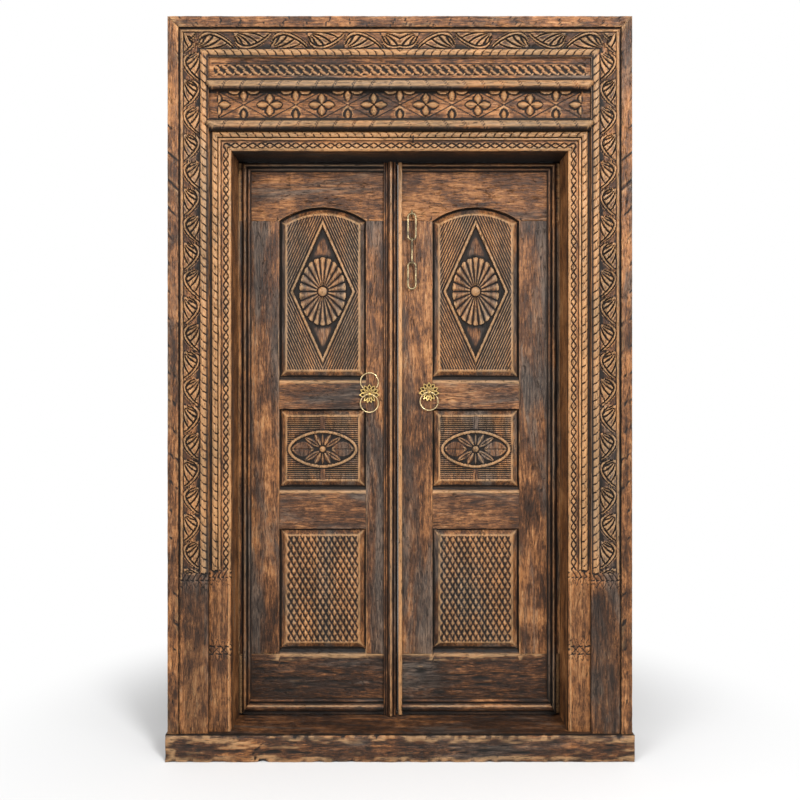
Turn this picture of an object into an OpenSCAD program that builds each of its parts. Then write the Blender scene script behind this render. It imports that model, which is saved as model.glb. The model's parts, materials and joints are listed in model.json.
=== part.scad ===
// Carved double door in its frame. A boxed surround, two lintels and an inner frame
// stand on a sill, and two framed and panelled leaves turn in it on iron pivots.
// Millimetres. X runs across the door, Y from front to back and Z up.
// The origin is the middle of the sill's underside.

/* [Frame] */
// Width across the side boards
frame_w = 1332; // [1200:2:1700]
// Height from the floor to the top of the top board
frame_h = 2134; // [1780:2:2600]
// Depth of the sill, and so of the whole frame
frame_d = 200; // [180:2:260]
// Thickness of the side boards and the top board
board_t = 31; // [20:1:45]
// Width of the carved outer jambs and outer head
outer_w = 85; // [85:1:120]
// How far the outer jambs stand back from the boards' front edges
outer_set = 5; // [2:0.5:12]
// Width of the inner jambs and inner head
inner_w = 64; // [64:1:90]
// How far the inner jambs stand back from the boards' front edges
inner_set = 18; // [12:1:40]

/* [Sill] */
// Height of the sill
sill_h = 76; // [60:1:120]
// How far the sill runs past each side board
sill_over = 5; // [0:1:20]
// How far the sill stands in front of the boards
sill_nose = 15; // [14:1:30]
// Height of the tenons that the jambs stand in the sill with
jamb_tenon_h = 40; // [20:1:50]
// Thickness of those tenons across the door
jamb_tenon_t = 24; // [12:1:30]

/* [Lintels] */
// Height of the upper lintel
upper_lintel_h = 87; // [70:1:120]
// Height of the lower lintel
lower_lintel_h = 115; // [90:1:160]
// How far the lintels stand back from the boards' front edges
lintel_set = 13; // [8:1:16]
// Height of the round moulding across each lintel
torus_h = 36; // [30:1:44]
// Radius of its round
torus_r = 13; // [9:0.5:14]
// How far the moulding hangs below its lintel
torus_drop = 8; // [2:1:12]
// How far the moulding runs over each outer jamb
torus_over = 14; // [6:1:18]

/* [Leaves] */
// Thickness of the stiles and rails
leaf_t = 38; // [32:1:46]
// Gap between the leaf and the jamb's stop
stop_gap = 0.5; // [0.3:0.1:2]
// How far the leaf stands in front of the frame's back
leaf_inset = 7; // [2:1:30]
// How far the hinge edge reaches behind the jamb's stop
stop_lap = 14; // [8:1:15]
// Clearance between the round heel and the jamb's rebate
heel_clear = 4; // [3:0.5:8]
// Gap under the leaves
foot_gap = 6; // [4:0.5:12]
// Gap over the leaves
head_gap = 5; // [3:0.5:10]
// Gap between the leaves' meeting edges
meeting_gap = 6; // [5:0.5:10]
// Gap between the lip behind the left leaf's edge and the right leaf
lip_gap = 0.8; // [0.6:0.1:1.5]
// Thickness of that lip, which closes the gap at the back
lip_t = 17; // [10:1:18]
// How far the meeting line lies left of the middle
meeting_shift = 6; // [0:1:12]
// Width of the hinge stiles
hinge_stile_w = 137; // [120:1:170]
// Distance from the middle of the doorway to each panel opening
opening_near = 101; // [85:1:130]
// Height of the bottom rail's shoulders
bottom_rail_h = 180; // [140:1:220]
// How far the bottom rail rises between the stiles
bottom_rail_rise = 13; // [12:1:20]
// Height of the lower cross rail
lower_rail_h = 125; // [80:1:160]
// Height of the upper cross rail
upper_rail_h = 96; // [80:1:160]
// Height of the top rail at its ends
top_rail_h = 174; // [120:1:220]
// Share of the height between the rails that the bottom panel's opening takes
bottom_share = 0.34; // [0.25:0.01:0.4]
// Share that the middle panel's opening takes; the top one has the rest
middle_share = 0.22; // [0.18:0.01:0.28]
// Rise of the arch over the top panel
arch_rise = 41; // [25:1:60]
// Height of the sloped edge on the rails below each panel
slope_h = 12; // [6:1:12]
// Depth of that slope
slope_d = 8; // [4:1:12]
// Length of the tenons on the stiles and cross rails
leaf_tenon_l = 45; // [30:1:60]
// Thickness of those tenons
leaf_tenon_t = 12; // [8:0.5:16]
// How far the tenons stay inside each rail's edges
tenon_shoulder = 20; // [14:1:30]

/* [Panels] */
// Thickness of the panel's edge in its groove
tongue_t = 8; // [5:0.5:9]
// How far the panel's edge reaches into its groove
tongue_l = 9; // [5:0.5:12]
// Clearance round the panel's edge in the groove
groove_clear = 0.2; // [0.1:0.1:1]
// Depth from the leaf's face to the groove
groove_set = 16; // [12:1:18]
// Depth from the leaf's face to the panel's raised field
field_set = 4; // [2:0.5:8]
// Width of the bevel round the field
bevel_w = 21; // [12:1:30]
// Height of the carved frames that stand on the fields
carving_t = 3; // [2:0.5:6]

/* [Leaf mouldings] */
// Width of the strips down the hinge edge and along the top
strip_w = 27; // [20:1:34]
// How far those strips stand proud
strip_t = 12; // [8:0.5:14]
// Distance from the jamb's stop to the strips
strip_reveal = 12; // [6:1:20]
// Height of the strip along the foot
foot_strip_h = 47; // [40:1:60]
// How far the foot strip stands proud
foot_strip_t = 18; // [16:0.5:20]
// Width of the strips at the meeting edges
meeting_strip_w = 12; // [8:1:16]
// Width of the cover bead at the middle of the door
cover_w = 25; // [20:1:32]
// How far the cover bead stands proud
cover_t = 22; // [18:0.5:26]

/* [Pivots] */
// Radius of the iron pivot pins
pin_r = 9; // [6:0.5:10]
// Length of each pin in the leaf
pin_in = 35; // [20:1:50]
// Length of each pin in its socket
pin_out = 26; // [15:1:35]
// Wall of the socket cups
socket_wall = 6; // [4:0.5:8]
// Radial running clearance of a pin in its socket
pin_clear = 0.05; // [0.02:0.01:0.1]

/* [Door furniture] */
// Height of the left handle's middle over the upper rail's foot
left_handle_up = 45; // [20:1:80]
// Height of the right handle's middle over the upper rail's foot
right_handle_up = 51; // [20:1:80]
// Distance of the handles from the middle of the doorway
handle_x = 90; // [75:1:110]
// Outer radius of the pull rings
ring_outer_r = 29; // [22:0.5:36]
// Radius of the rings' wire
ring_wire_r = 1.9; // [1.5:0.1:3]
// Reach of the flower's long petals
petal_l = 29; // [22:0.5:36]
// Reach of the flower's short lower petals
lower_petal_l = 26; // [18:0.5:30]
// Thickness of the flower plate
flower_t = 2.5; // [2:0.1:4]
// Thickness of the washer behind the flower
washer_t = 4.5; // [4.2:0.1:7]
// Radius of the stud that holds the ring
stud_r = 4.5; // [4:0.1:6]
// Distance of the chain from the middle of the doorway
chain_x = 38; // [30:1:60]
// How far the chain's staple stands below the leaf's top
chain_drop = 153; // [100:1:300]
// Outer length of the chain's links
link_l = 85; // [60:1:100]
// Outer width of the links
link_w = 29; // [22:0.5:34]
// Radius of the links' wire
link_wire_r = 2.75; // [2:0.25:3.5]
// Gap between two links where they meet
link_gap = 0.4; // [0.3:0.1:1]
// Mean radius of the two staples' loops
staple_r = 7.5; // [6.5:0.5:10]
// Radius of the staples' wire
staple_wire_r = 2.4; // [2:0.1:3]
// How far the staples' legs run into the wood
staple_leg = 12; // [6:0.5:12]

/* [Hidden] */
$fn = 64;
BIG = 4000;
EPS = 0.01;

// Places across the door, as distances from the middle
x_out = frame_w / 2;
x_board = x_out - board_t;
x_outer = x_board - outer_w;
x_open = x_outer - inner_w;

// Places from front to back
y_sill = -frame_d / 2;
y_back = frame_d / 2;
y_board = y_sill + sill_nose;
y_outer = y_board + outer_set;
y_inner = y_board + inner_set;
y_lintel = y_board + lintel_set;
y_leaf_back = y_back - leaf_inset;
y_leaf = y_leaf_back - leaf_t;
y_axis = y_leaf + leaf_t / 2;
y_stop = y_leaf - stop_gap;

// Heights
z_board = frame_h - board_t;
z_outer = z_board - outer_w;
z_mid_lintel = z_outer - upper_lintel_h;
z_head = z_mid_lintel - lower_lintel_h;
z_open = z_head - inner_w;
z_leaf = sill_h + foot_gap;
z_leaf_top = z_open - head_gap;
z_foot_shoulder = z_leaf + bottom_rail_h;
z_bottom_open = z_foot_shoulder + bottom_rail_rise;
z_top_shoulder = z_leaf_top - top_rail_h;
openings_h = z_top_shoulder - z_bottom_open - lower_rail_h - upper_rail_h;
bottom_opening_h = openings_h * bottom_share;
middle_opening_h = openings_h * middle_share;
z_lower_rail = z_bottom_open + bottom_opening_h;
z_middle_open = z_lower_rail + lower_rail_h;
z_upper_rail = z_middle_open + middle_opening_h;
z_top_open = z_upper_rail + upper_rail_h;
left_handle_z = z_upper_rail + left_handle_up;
right_handle_z = z_upper_rail + right_handle_up;
chain_z = z_leaf_top - chain_drop;

// Places across one leaf, measured from the middle of the doorway
heel_r = leaf_t / 2;
u_hinge = x_open + stop_lap;
u_axis = u_hinge - heel_r;
u_far = u_hinge - hinge_stile_w;
u_near = opening_near;
u_mid = (u_far + u_near) / 2;
opening_w = u_far - u_near;
LEFT = -1;
RIGHT = 1;
function meeting_u(side) = -side * meeting_shift + meeting_gap / 2;
arch_r = (pow(opening_w / 2, 2) + pow(arch_rise, 2)) / (2 * arch_rise);
z_arch = z_top_shoulder + arch_rise - arch_r;

// Depths in one leaf
y_groove = y_leaf + groove_set;
groove_t = tongue_t + 2 * groove_clear;
groove_l = tongue_l + groove_clear;
y_tenon = y_axis - leaf_tenon_t / 2;
y_strip = y_leaf - strip_t;

// Handles and chain
y_plate = y_leaf - washer_t;
stud_hole_r = ring_wire_r + 0.7;
y_ring = y_plate - flower_t - stud_hole_r - 2.5;
ring_mid_r = ring_outer_r - ring_wire_r;
link_run = link_l - 2 * link_wire_r;
link_bend_r = link_w / 2 - link_wire_r;
y_chain = y_leaf - link_w / 2 - 1.5;
link_rise = 2 * link_wire_r + link_gap;
top_link_z = chain_z - (staple_r - staple_wire_r - link_wire_r - link_gap);
middle_link_z = top_link_z - link_run + link_rise;
end_link_z = middle_link_z - link_run + link_rise;
lintel_staple_z = z_open + inner_w / 2 + staple_r;

// Places its children on one side; they are drawn as on the right.
module on_side(side) {
    mirror([side == LEFT ? 1 : 0, 0, 0]) children();
}

// A box from its lowest to its highest corner
module block(low, high) {
    translate(low) cube(high - low);
}

// Extrudes a flat shape drawn in X and Z from y0 to y1.
module slab(y0, y1) {
    translate([0, y1, 0]) rotate([90, 0, 0]) linear_extrude(y1 - y0) children();
}

// A segment of a round standing h high on a base w wide, its middle at the origin
module bead(w, h) {
    r = (w * w / 4 + h * h) / (2 * h);
    intersection() {
        translate([0, r - h]) circle(r);
        translate([-w / 2, -h - 1]) square([w, h + 1 + EPS]);
    }
}

// ---- Frame ----

// Section of the outer jambs and head. Its first axis runs inwards from the boards,
// its second from front to back.
FILLET_W = 13;
VINE_W = 48;
VINE_SINK = 4;
ROPE_W = 19;
ROPE_H = 6;
ROPE_SINK = 2;
module outer_section() {
    y_rope = y_outer + ROPE_SINK;
    difference() {
        translate([0, y_outer]) square([outer_w, y_back - y_outer]);
        translate([FILLET_W, y_outer - 1]) square([VINE_W, VINE_SINK + 1]);
        translate([FILLET_W + VINE_W - EPS, y_outer - 1]) square([outer_w, ROPE_SINK + 1]);
    }
    translate([FILLET_W + VINE_W + ROPE_W / 2, y_rope]) bead(ROPE_W, ROPE_H);
}

// Section of the inner jambs and head, drawn the same way
INNER_ROPE_X = 13;
FILLET_X = 27;
CHAIN_X = 38;
CHAIN_W = 17;
CLEFT_D = 3;
CHAIN_SINK = 2;
module inner_section() {
    difference() {
        translate([0, y_inner]) square([inner_w, y_back - y_inner]);
        translate([INNER_ROPE_X + ROPE_W / 2, y_inner - 1]) square([FILLET_X - INNER_ROPE_X - ROPE_W / 2, CLEFT_D + 1]);
        translate([CHAIN_X - 3, y_inner - 1]) square([CHAIN_W + 3, CHAIN_SINK + 1]);
    }
    translate([INNER_ROPE_X, y_inner]) bead(ROPE_W, ROPE_H);
}

// An upright of a section whose outer face is at x, mitred at its top about the corner (x, z)
module upright(x, z, w) {
    intersection() {
        translate([x, 0, sill_h]) mirror([1, 0, 0]) linear_extrude(BIG) children();
        slab(-BIG, BIG) polygon([[x, 0], [x, z], [x - w, z - w], [x - w, 0]]);
    }
}

// A head of the same section, its outer face at z, mitred at both ends about x
module cross_head(x, z, w) {
    intersection() {
        translate([-BIG / 2, 0, z]) rotate([0, 90, 0]) linear_extrude(BIG) children();
        slab(-BIG, BIG) polygon([[-x, z], [x, z], [x - w, z - w], [w - x, z - w]]);
    }
}

// Tenons under the jambs; the sill's mortises are the same blocks.
TENON_SET = 40;
module outer_tenon() {
    x = x_outer + outer_w / 2;
    block([x - jamb_tenon_t / 2, y_outer + TENON_SET, sill_h - jamb_tenon_h],
          [x + jamb_tenon_t / 2, y_back - TENON_SET, sill_h + EPS]);
}

module inner_tenon() {
    x = u_hinge + heel_clear + 3;
    block([x, y_inner + TENON_SET, sill_h - jamb_tenon_h],
          [x + jamb_tenon_t, y_back - TENON_SET, sill_h + EPS]);
}

module socket_hole(z0, z1) {
    translate([u_axis, y_axis, z0]) cylinder(r = pin_r + pin_clear + socket_wall, h = z1 - z0);
}

module threshold() {
    color("saddlebrown") difference() {
        block([-x_out - sill_over, y_sill, 0], [x_out + sill_over, y_back, sill_h]);
        for (side = [LEFT, RIGHT]) on_side(side) {
            outer_tenon();
            inner_tenon();
            socket_hole(sill_h - pin_out - socket_wall, sill_h + 1);
        }
    }
}

module side_board(side) {
    color("sienna") on_side(side)
        upright(x_out, frame_h, board_t) translate([0, y_board]) square([board_t, y_back - y_board]);
}

module top_board() {
    color("sienna") cross_head(x_out, frame_h, board_t)
        translate([0, y_board]) square([board_t, y_back - y_board]);
}

module outer_jamb(side) {
    color("peru") on_side(side) {
        upright(x_board, z_board, outer_w) outer_section();
        outer_tenon();
    }
}

module outer_head() {
    color("peru") cross_head(x_board, z_board, outer_w) outer_section();
}

module inner_jamb(side) {
    color("chocolate") on_side(side) {
        difference() {
            upright(x_outer, z_head, inner_w) inner_section();
            block([x_open - 1, y_stop, 0], [u_hinge + heel_clear, y_back + 1, BIG]);
        }
        inner_tenon();
    }
}

module inner_head() {
    color("chocolate") difference() {
        cross_head(x_outer, z_head, inner_w) inner_section();
        for (side = [LEFT, RIGHT]) on_side(side) socket_hole(z_open - 1, z_open + pin_out + socket_wall);
        lintel_staple_legs();
    }
}

module lintel(z0, z1) {
    block([-x_outer, y_lintel, z0], [x_outer, y_back, z1]);
}

module upper_lintel() {
    color("peru") lintel(z_mid_lintel, z_outer);
}

module lower_lintel() {
    color("peru") lintel(z_head, z_mid_lintel);
}

// The round moulding across the foot of a lintel, whose underside is at z. It is cut back where it
// runs over the jambs' ropes, and its ends are sloped.
ROPE_GAP = 0.5;
module lintel_moulding(z) {
    x_end = x_outer + torus_over;
    y_over = y_outer + ROPE_SINK - ROPE_H - ROPE_GAP;
    y_nose = y_lintel - 12 - torus_r;
    difference() {
        intersection() {
            translate([-x_end, 0, z]) rotate([90, 0, 90]) linear_extrude(2 * x_end) {
                translate([y_lintel - 12, torus_r]) circle(torus_r);
                polygon([[y_lintel, 0.5], [y_lintel, torus_h], [y_lintel - 6, torus_h],
                         [y_lintel - 16, 2 * torus_r - 1], [y_lintel - 12, 0.5]]);
            }
            block([-BIG, -BIG, z - 1], [BIG, y_lintel, z + torus_h + 1]);
            linear_extrude(BIG) polygon([[-x_end, y_lintel], [-x_end, y_over], [-x_end + 8, y_nose],
                                         [x_end - 8, y_nose], [x_end, y_over], [x_end, y_lintel]]);
        }
        for (side = [LEFT, RIGHT]) on_side(side)
            block([x_outer, y_over, 0], [x_end + 1, y_lintel + 1, BIG]);
    }
}

module upper_lintel_moulding() {
    color("saddlebrown") lintel_moulding(z_mid_lintel - torus_drop);
}

// This one hangs in front of the inner head, so its own underside is what clears the head's rope.
module lower_lintel_moulding() {
    color("saddlebrown") difference() {
        lintel_moulding(z_head - torus_drop);
        block([-BIG, y_inner - ROPE_H - ROPE_GAP, 0], [BIG, BIG, z_head]);
    }
}

module pivot_sockets() {
    color("dimgray") for (side = [LEFT, RIGHT]) on_side(side) {
        difference() {
            socket_hole(sill_h - pin_out - socket_wall, sill_h);
            translate([u_axis, y_axis, sill_h - pin_out]) cylinder(r = pin_r + pin_clear, h = BIG);
        }
        difference() {
            socket_hole(z_open, z_open + pin_out + socket_wall);
            translate([u_axis, y_axis, 0]) cylinder(r = pin_r + pin_clear, h = z_open + pin_out);
        }
    }
}

// A staple's loop stands out in a plane across the wood's face at y, with two legs into the wood.
module staple_legs(x, y, z, r, wire_r, leg) {
    for (dz = [-r, r]) translate([x, y + leg, z + dz]) rotate([90, 0, 0]) cylinder(r = wire_r, h = leg + EPS);
}

module staple(x, y, z, stand) {
    staple_legs(x, y, z, staple_r, staple_wire_r, staple_leg);
    for (dz = [-staple_r, staple_r])
        translate([x, y, z + dz]) rotate([90, 0, 0]) cylinder(r = staple_wire_r, h = stand);
    translate([x, y - stand, z]) rotate([0, -90, 0]) rotate([0, 0, 180])
        rotate_extrude(angle = 180) translate([staple_r, 0]) circle(staple_wire_r);
}

module lintel_staple_legs() {
    staple_legs(chain_x, y_inner - 1, lintel_staple_z - staple_r, staple_r, staple_wire_r, staple_leg + 1);
}

module lintel_staple() {
    color("dimgray") staple(chain_x, y_inner, lintel_staple_z - staple_r, 10);
}

// ---- Leaves ----

// Plan of a leaf's hinge side: square to the axis, then round about it
module heel_plan(u0) {
    translate([u0, y_leaf]) square([u_axis - u0, leaf_t]);
    translate([u_axis, y_axis]) circle(heel_r);
}

// A tenon that stands up or down from a stile, and its mortise
module stile_tenon(u, z0, z1) {
    block([u, y_tenon, z0], [u + leaf_tenon_w, y_tenon + leaf_tenon_t, z1]);
}

leaf_tenon_w = 50;
function meeting_tenon_u(side) = meeting_u(side) + 18;
hinge_tenon_u = u_far + 20;

module stile_tenons(u) {
    stile_tenon(u, z_foot_shoulder - leaf_tenon_l, z_foot_shoulder + EPS);
    stile_tenon(u, z_top_shoulder - EPS, z_top_shoulder + leaf_tenon_l);
}

// The cross rails' tenons, and the stiles' mortises
module rail_tenons(z0, z1) {
    for (u = [u_near - leaf_tenon_l, u_far - EPS])
        block([u, y_tenon, z0 + tenon_shoulder],
              [u + leaf_tenon_l + EPS, y_tenon + leaf_tenon_t, z1 - tenon_shoulder]);
}

module cross_rail_mortises() {
    rail_tenons(z_lower_rail, z_middle_open);
    rail_tenons(z_upper_rail, z_top_open);
}

// The grooves up the stiles, as one flat block. Each panel stands on the groove in the rail below it.
module panel_groove() {
    block([u_near - groove_l, y_groove, z_bottom_open - groove_l],
          [u_far + groove_l, y_groove + groove_t, z_top_shoulder]);
    slab(y_groove, y_groove + groove_t) arch_shape(-groove_l);
}

// The top panel's outline, drawn in by inset from the opening
module arch_shape(inset) {
    translate([u_near + inset, z_top_open + inset])
        square([opening_w - 2 * inset, z_top_shoulder - z_top_open - inset]);
    intersection() {
        translate([u_mid, z_arch]) circle(arch_r - inset, $fn = 128);
        translate([u_near + inset, z_top_shoulder - EPS]) square([opening_w - 2 * inset, arch_rise + 20]);
    }
}

// The lip along the left leaf's meeting edge, behind its middle
module meeting_lip(side, z0, z1) {
    if (side == LEFT)
        block([meeting_u(side) - meeting_gap + lip_gap, y_leaf_back - min(lip_t, heel_r - 1), z0],
              [meeting_u(side) + 1, y_leaf_back, z1]);
}

module hinge_stile(side) {
    color("peru") on_side(side) {
        difference() {
            translate([0, 0, z_foot_shoulder]) linear_extrude(z_top_shoulder - z_foot_shoulder) heel_plan(u_far);
            panel_groove();
            cross_rail_mortises();
        }
        stile_tenons(hinge_tenon_u);
    }
}

module meeting_stile(side) {
    color("peru") on_side(side) {
        difference() {
            block([meeting_u(side), y_leaf, z_foot_shoulder], [u_near, y_leaf_back, z_top_shoulder]);
            panel_groove();
            cross_rail_mortises();
        }
        meeting_lip(side, z_foot_shoulder, z_top_shoulder);
        stile_tenons(meeting_tenon_u(side));
    }
}

// The slope that sheds dust from a rail's upper edge at z
module rail_slope(z) {
    translate([-BIG / 2, 0, 0]) rotate([90, 0, 90]) linear_extrude(BIG)
        polygon([[y_leaf - 1, z + 1], [y_leaf + slope_d, z + 1], [y_leaf + slope_d, z],
                 [y_leaf, z - slope_h], [y_leaf - 1, z - slope_h]]);
}

module cross_rail(side, z0, z1) {
    color("peru") on_side(side) {
        difference() {
            block([u_near, y_leaf, z0], [u_far, y_leaf_back, z1]);
            block([0, y_groove, z0 - 1], [BIG, y_groove + groove_t, z0 + groove_l]);
            block([0, y_groove, z1 - tongue_l], [BIG, y_groove + groove_t, z1 + 1]);
            rail_slope(z1);
        }
        rail_tenons(z0, z1);
    }
}

module upper_rail(side) {
    cross_rail(side, z_upper_rail, z_top_open);
}

module lower_rail(side) {
    cross_rail(side, z_lower_rail, z_middle_open);
}

module pin_bore(z0, z1) {
    translate([u_axis, y_axis, z0]) cylinder(r = pin_r, h = z1 - z0);
}

module bottom_rail(side) {
    color("peru") on_side(side) difference() {
        union() {
            translate([0, 0, z_leaf]) linear_extrude(bottom_rail_h) heel_plan(meeting_u(side));
            meeting_lip(side, z_leaf, z_foot_shoulder);
            block([u_near, y_leaf, z_foot_shoulder - 1], [u_far, y_leaf_back, z_bottom_open]);
        }
        intersection() {
            rail_slope(z_bottom_open);
            block([u_near, -BIG, 0], [u_far, BIG, BIG]);
        }
        block([u_near, y_groove, z_bottom_open - tongue_l], [u_far, y_groove + groove_t, z_bottom_open + 1]);
        stile_tenons(hinge_tenon_u);
        stile_tenons(meeting_tenon_u(side));
        pin_bore(z_leaf - 1, z_leaf + pin_in);
    }
}

module top_rail(side) {
    color("peru") on_side(side) difference() {
        union() {
            translate([0, 0, z_top_shoulder]) linear_extrude(top_rail_h) heel_plan(meeting_u(side));
            meeting_lip(side, z_top_shoulder, z_leaf_top);
        }
        slab(-BIG, BIG) arch_shape(0);
        slab(y_groove, y_groove + groove_t) arch_shape(-groove_l);
        stile_tenons(hinge_tenon_u);
        stile_tenons(meeting_tenon_u(side));
        pin_bore(z_leaf_top - pin_in, z_leaf_top + 1);
        if (side == RIGHT) staple_legs(chain_x, y_leaf - 1, chain_z, staple_r, staple_wire_r, staple_leg + 1);
    }
}

module pivot_pins(side) {
    color("dimgray") on_side(side) {
        pin_bore(sill_h - pin_out + 0.5, z_leaf + pin_in);
        translate([u_axis, y_axis, sill_h + 0.3]) cylinder(r = pin_r + 4, h = foot_gap - 0.3);
        pin_bore(z_leaf_top - pin_in, z_open + pin_out - 1);
    }
}

// ---- Panels ----

// A panel with a tongue in its grooves and a field raised by a bevel. The first child is the
// tongue's outline, the second the bevel's foot and the third the field.
module raised_panel() {
    slab(y_groove + groove_clear, y_groove + groove_clear + tongue_t) children(0);
    hull() {
        slab(y_groove + groove_clear - EPS, y_groove + groove_clear + EPS) children(1);
        slab(y_leaf + field_set, y_leaf + field_set + EPS) children(2);
    }
}

module opening_shape(z, h, inset) {
    translate([u_near + inset, z + inset]) square([opening_w - 2 * inset, h - 2 * inset]);
}

module square_panel(z, h) {
    raised_panel() {
        opening_shape(z, h, -tongue_l);
        opening_shape(z, h, 1);
        opening_shape(z, h, bevel_w);
    }
}

// A carved piece standing on the field
module on_field(t) {
    slab(y_leaf + field_set - t, y_leaf + field_set + EPS) children();
}

LOZENGE_W = 97;
LOZENGE_H = 202;
LOZENGE_SIDE_GAP = 13;
LOZENGE_END_GAP = 34.5;
LOZENGE_BAND = 10;
ROSETTE_BOSS_R = 16;
module lozenge(w, h) {
    polygon([[-w, 0], [0, -h], [w, 0], [0, h]]);
}

module top_panel(side) {
    h = z_top_shoulder + arch_rise - z_top_open;
    z = z_top_open + h / 2;
    kw = (opening_w / 2 - bevel_w) / (LOZENGE_W + LOZENGE_SIDE_GAP);
    kh = (h / 2 - bevel_w) / (LOZENGE_H + LOZENGE_END_GAP);
    color("saddlebrown") on_side(side) {
        raised_panel() {
            arch_shape(-tongue_l);
            arch_shape(1);
            arch_shape(bevel_w);
        }
        on_field(carving_t) translate([u_mid, z]) difference() {
            lozenge(LOZENGE_W * kw, LOZENGE_H * kh);
            lozenge((LOZENGE_W - LOZENGE_BAND) * kw, (LOZENGE_H - 2 * LOZENGE_BAND) * kh);
        }
        on_field(carving_t) translate([u_mid, z]) circle(ROSETTE_BOSS_R);
    }
}

// An almond shape: where two equal rounds cross, 2w long and 2h high
module almond(w, h) {
    r = (w * w + h * h) / (2 * h);
    intersection() {
        translate([0, r - h]) circle(r);
        translate([0, h - r]) circle(r);
    }
}

ALMOND_BAND = 9;
ALMOND_BOSS_R = 11;
module middle_panel(side) {
    color("saddlebrown") on_side(side) {
        square_panel(z_middle_open, middle_opening_h);
        on_field(carving_t) translate([u_mid, z_middle_open + middle_opening_h / 2]) {
            w = opening_w / 2 - bevel_w - 3;
            h = w * 0.56;
            difference() {
                almond(w, h);
                almond(w - 2 * ALMOND_BAND, h - ALMOND_BAND);
            }
            circle(ALMOND_BOSS_R);
        }
    }
}

module bottom_panel(side) {
    color("saddlebrown") on_side(side) square_panel(z_bottom_open, bottom_opening_h);
}

// ---- Strips on the leaves ----

// Two reeds on a flat strip w wide and t proud. Its first axis runs from the edge inwards and its
// second from front to back.
module reeded_section(w, t) {
    translate([0, -t / 2]) square([w, t / 2]);
    translate([w * 0.28, -t / 2 + EPS]) bead(w * 0.46, t / 2);
    translate([w * 0.76, -t / 2 + EPS]) bead(w * 0.38, t / 3);
}

u_strip = x_open - strip_reveal;
module hinge_strip(side) {
    color("sienna") on_side(side) intersection() {
        translate([u_strip, y_leaf, z_leaf]) mirror([1, 0, 0])
            linear_extrude(z_leaf_top - z_leaf) reeded_section(strip_w, strip_t);
        slab(-BIG, BIG) polygon([[u_strip, z_leaf], [u_strip, z_leaf_top],
                                 [u_strip - strip_w, z_leaf_top - strip_w],
                                 [u_strip - strip_w, z_leaf + foot_strip_h]]);
    }
}

// Where the strips along the top and the foot stop short of the meeting edge
function strip_end_u(side) = meeting_u(side) + (side == LEFT ? 1 + cover_w : 0) + meeting_strip_w;

module top_strip(side) {
    u = strip_end_u(side);
    color("sienna") on_side(side) intersection() {
        translate([u, y_leaf, z_leaf_top]) rotate([0, 90, 0])
            linear_extrude(u_strip - u) reeded_section(strip_w, strip_t);
        slab(-BIG, BIG) polygon([[u, z_leaf_top], [u_strip, z_leaf_top],
                                 [u_strip - strip_w, z_leaf_top - strip_w], [u, z_leaf_top - strip_w]]);
    }
}

// The deeper strip along the foot: a plinth, a large round and a small bead over it
module foot_section() {
    translate([0, -8]) square([9, 8]);
    translate([0, -6]) square([foot_strip_h, 6]);
    translate([22, -6 + EPS]) bead(24, foot_strip_t - 6);
    translate([foot_strip_h - 6, -6 + EPS]) bead(9, 3.5);
}

module foot_strip(side) {
    u = strip_end_u(side);
    color("sienna") on_side(side) intersection() {
        translate([u_strip, y_leaf, z_leaf]) rotate([0, -90, 0])
            linear_extrude(u_strip - u) foot_section();
        slab(-BIG, BIG) polygon([[u, z_leaf], [u_strip, z_leaf],
                                 [u_strip - strip_w, z_leaf + foot_strip_h], [u, z_leaf + foot_strip_h]]);
    }
}

module meeting_strip(side) {
    u = strip_end_u(side) - meeting_strip_w;
    color("sienna") on_side(side) translate([u, y_leaf, z_leaf]) linear_extrude(z_leaf_top - z_leaf) {
        translate([0, 2 - strip_t]) square([meeting_strip_w, strip_t - 2]);
        translate([meeting_strip_w / 2, 2 - strip_t + EPS]) bead(meeting_strip_w - 2, 2);
    }
}

// The bead that covers the left leaf's meeting edge
module left_cover_bead() {
    color("sienna") on_side(LEFT) translate([meeting_u(LEFT) + 1, y_leaf, z_leaf])
        linear_extrude(z_leaf_top - z_leaf) {
            translate([0, -12]) square([cover_w, 12]);
            translate([cover_w - 9, -12 + EPS]) bead(16, cover_t - 12);
            translate([4, -12 + EPS]) bead(6, 3);
        }
}

// ---- Door furniture ----

// One pointed petal along the first axis from r0 to r1, pierced to a rim
module petal(r0, r1, w) {
    l = (r1 - r0) / 2;
    translate([r0 + l, 0]) difference() {
        almond(l, w / 2);
        almond(l - 4, w / 2 - 1.6);
    }
}

FLOWER_HUB_R = 8.5;
module flower_plate(side, z) {
    color("gold") on_side(side) {
        slab(y_plate - flower_t, y_plate) translate([handle_x, z]) {
            circle(FLOWER_HUB_R);
            for (i = [0:6]) rotate(-5 + i * 190 / 6) petal(4, petal_l, 11);
            for (a = [-128, -103, -77, -52]) rotate(a) petal(4, lower_petal_l, 8);
        }
        slab(y_plate, y_leaf) translate([handle_x, z]) circle(FLOWER_HUB_R);
    }
}

module ring_stud(side, z) {
    y_tip = y_ring - stud_hole_r - 2.5;
    color("gold") on_side(side) difference() {
        translate([handle_x, y_plate - flower_t, z]) rotate([90, 0, 0]) {
            cylinder(r = stud_r, h = y_plate - flower_t - y_tip);
            translate([0, 0, y_plate - flower_t - y_tip]) sphere(stud_r);
        }
        translate([handle_x - 20, y_ring, z]) rotate([0, 90, 0]) cylinder(r = stud_hole_r, h = 40);
    }
}

// A ring of round wire in the plane of the door; (x, y, z) is the middle of its wire at the top.
module wire_ring(x, y, z) {
    translate([x, y, z - ring_mid_r]) rotate([90, 0, 0])
        rotate_extrude() translate([ring_mid_r, 0]) circle(ring_wire_r);
}

module pull_ring(side, z) {
    color("gold") on_side(side) wire_ring(handle_x, y_ring, z);
}

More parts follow.
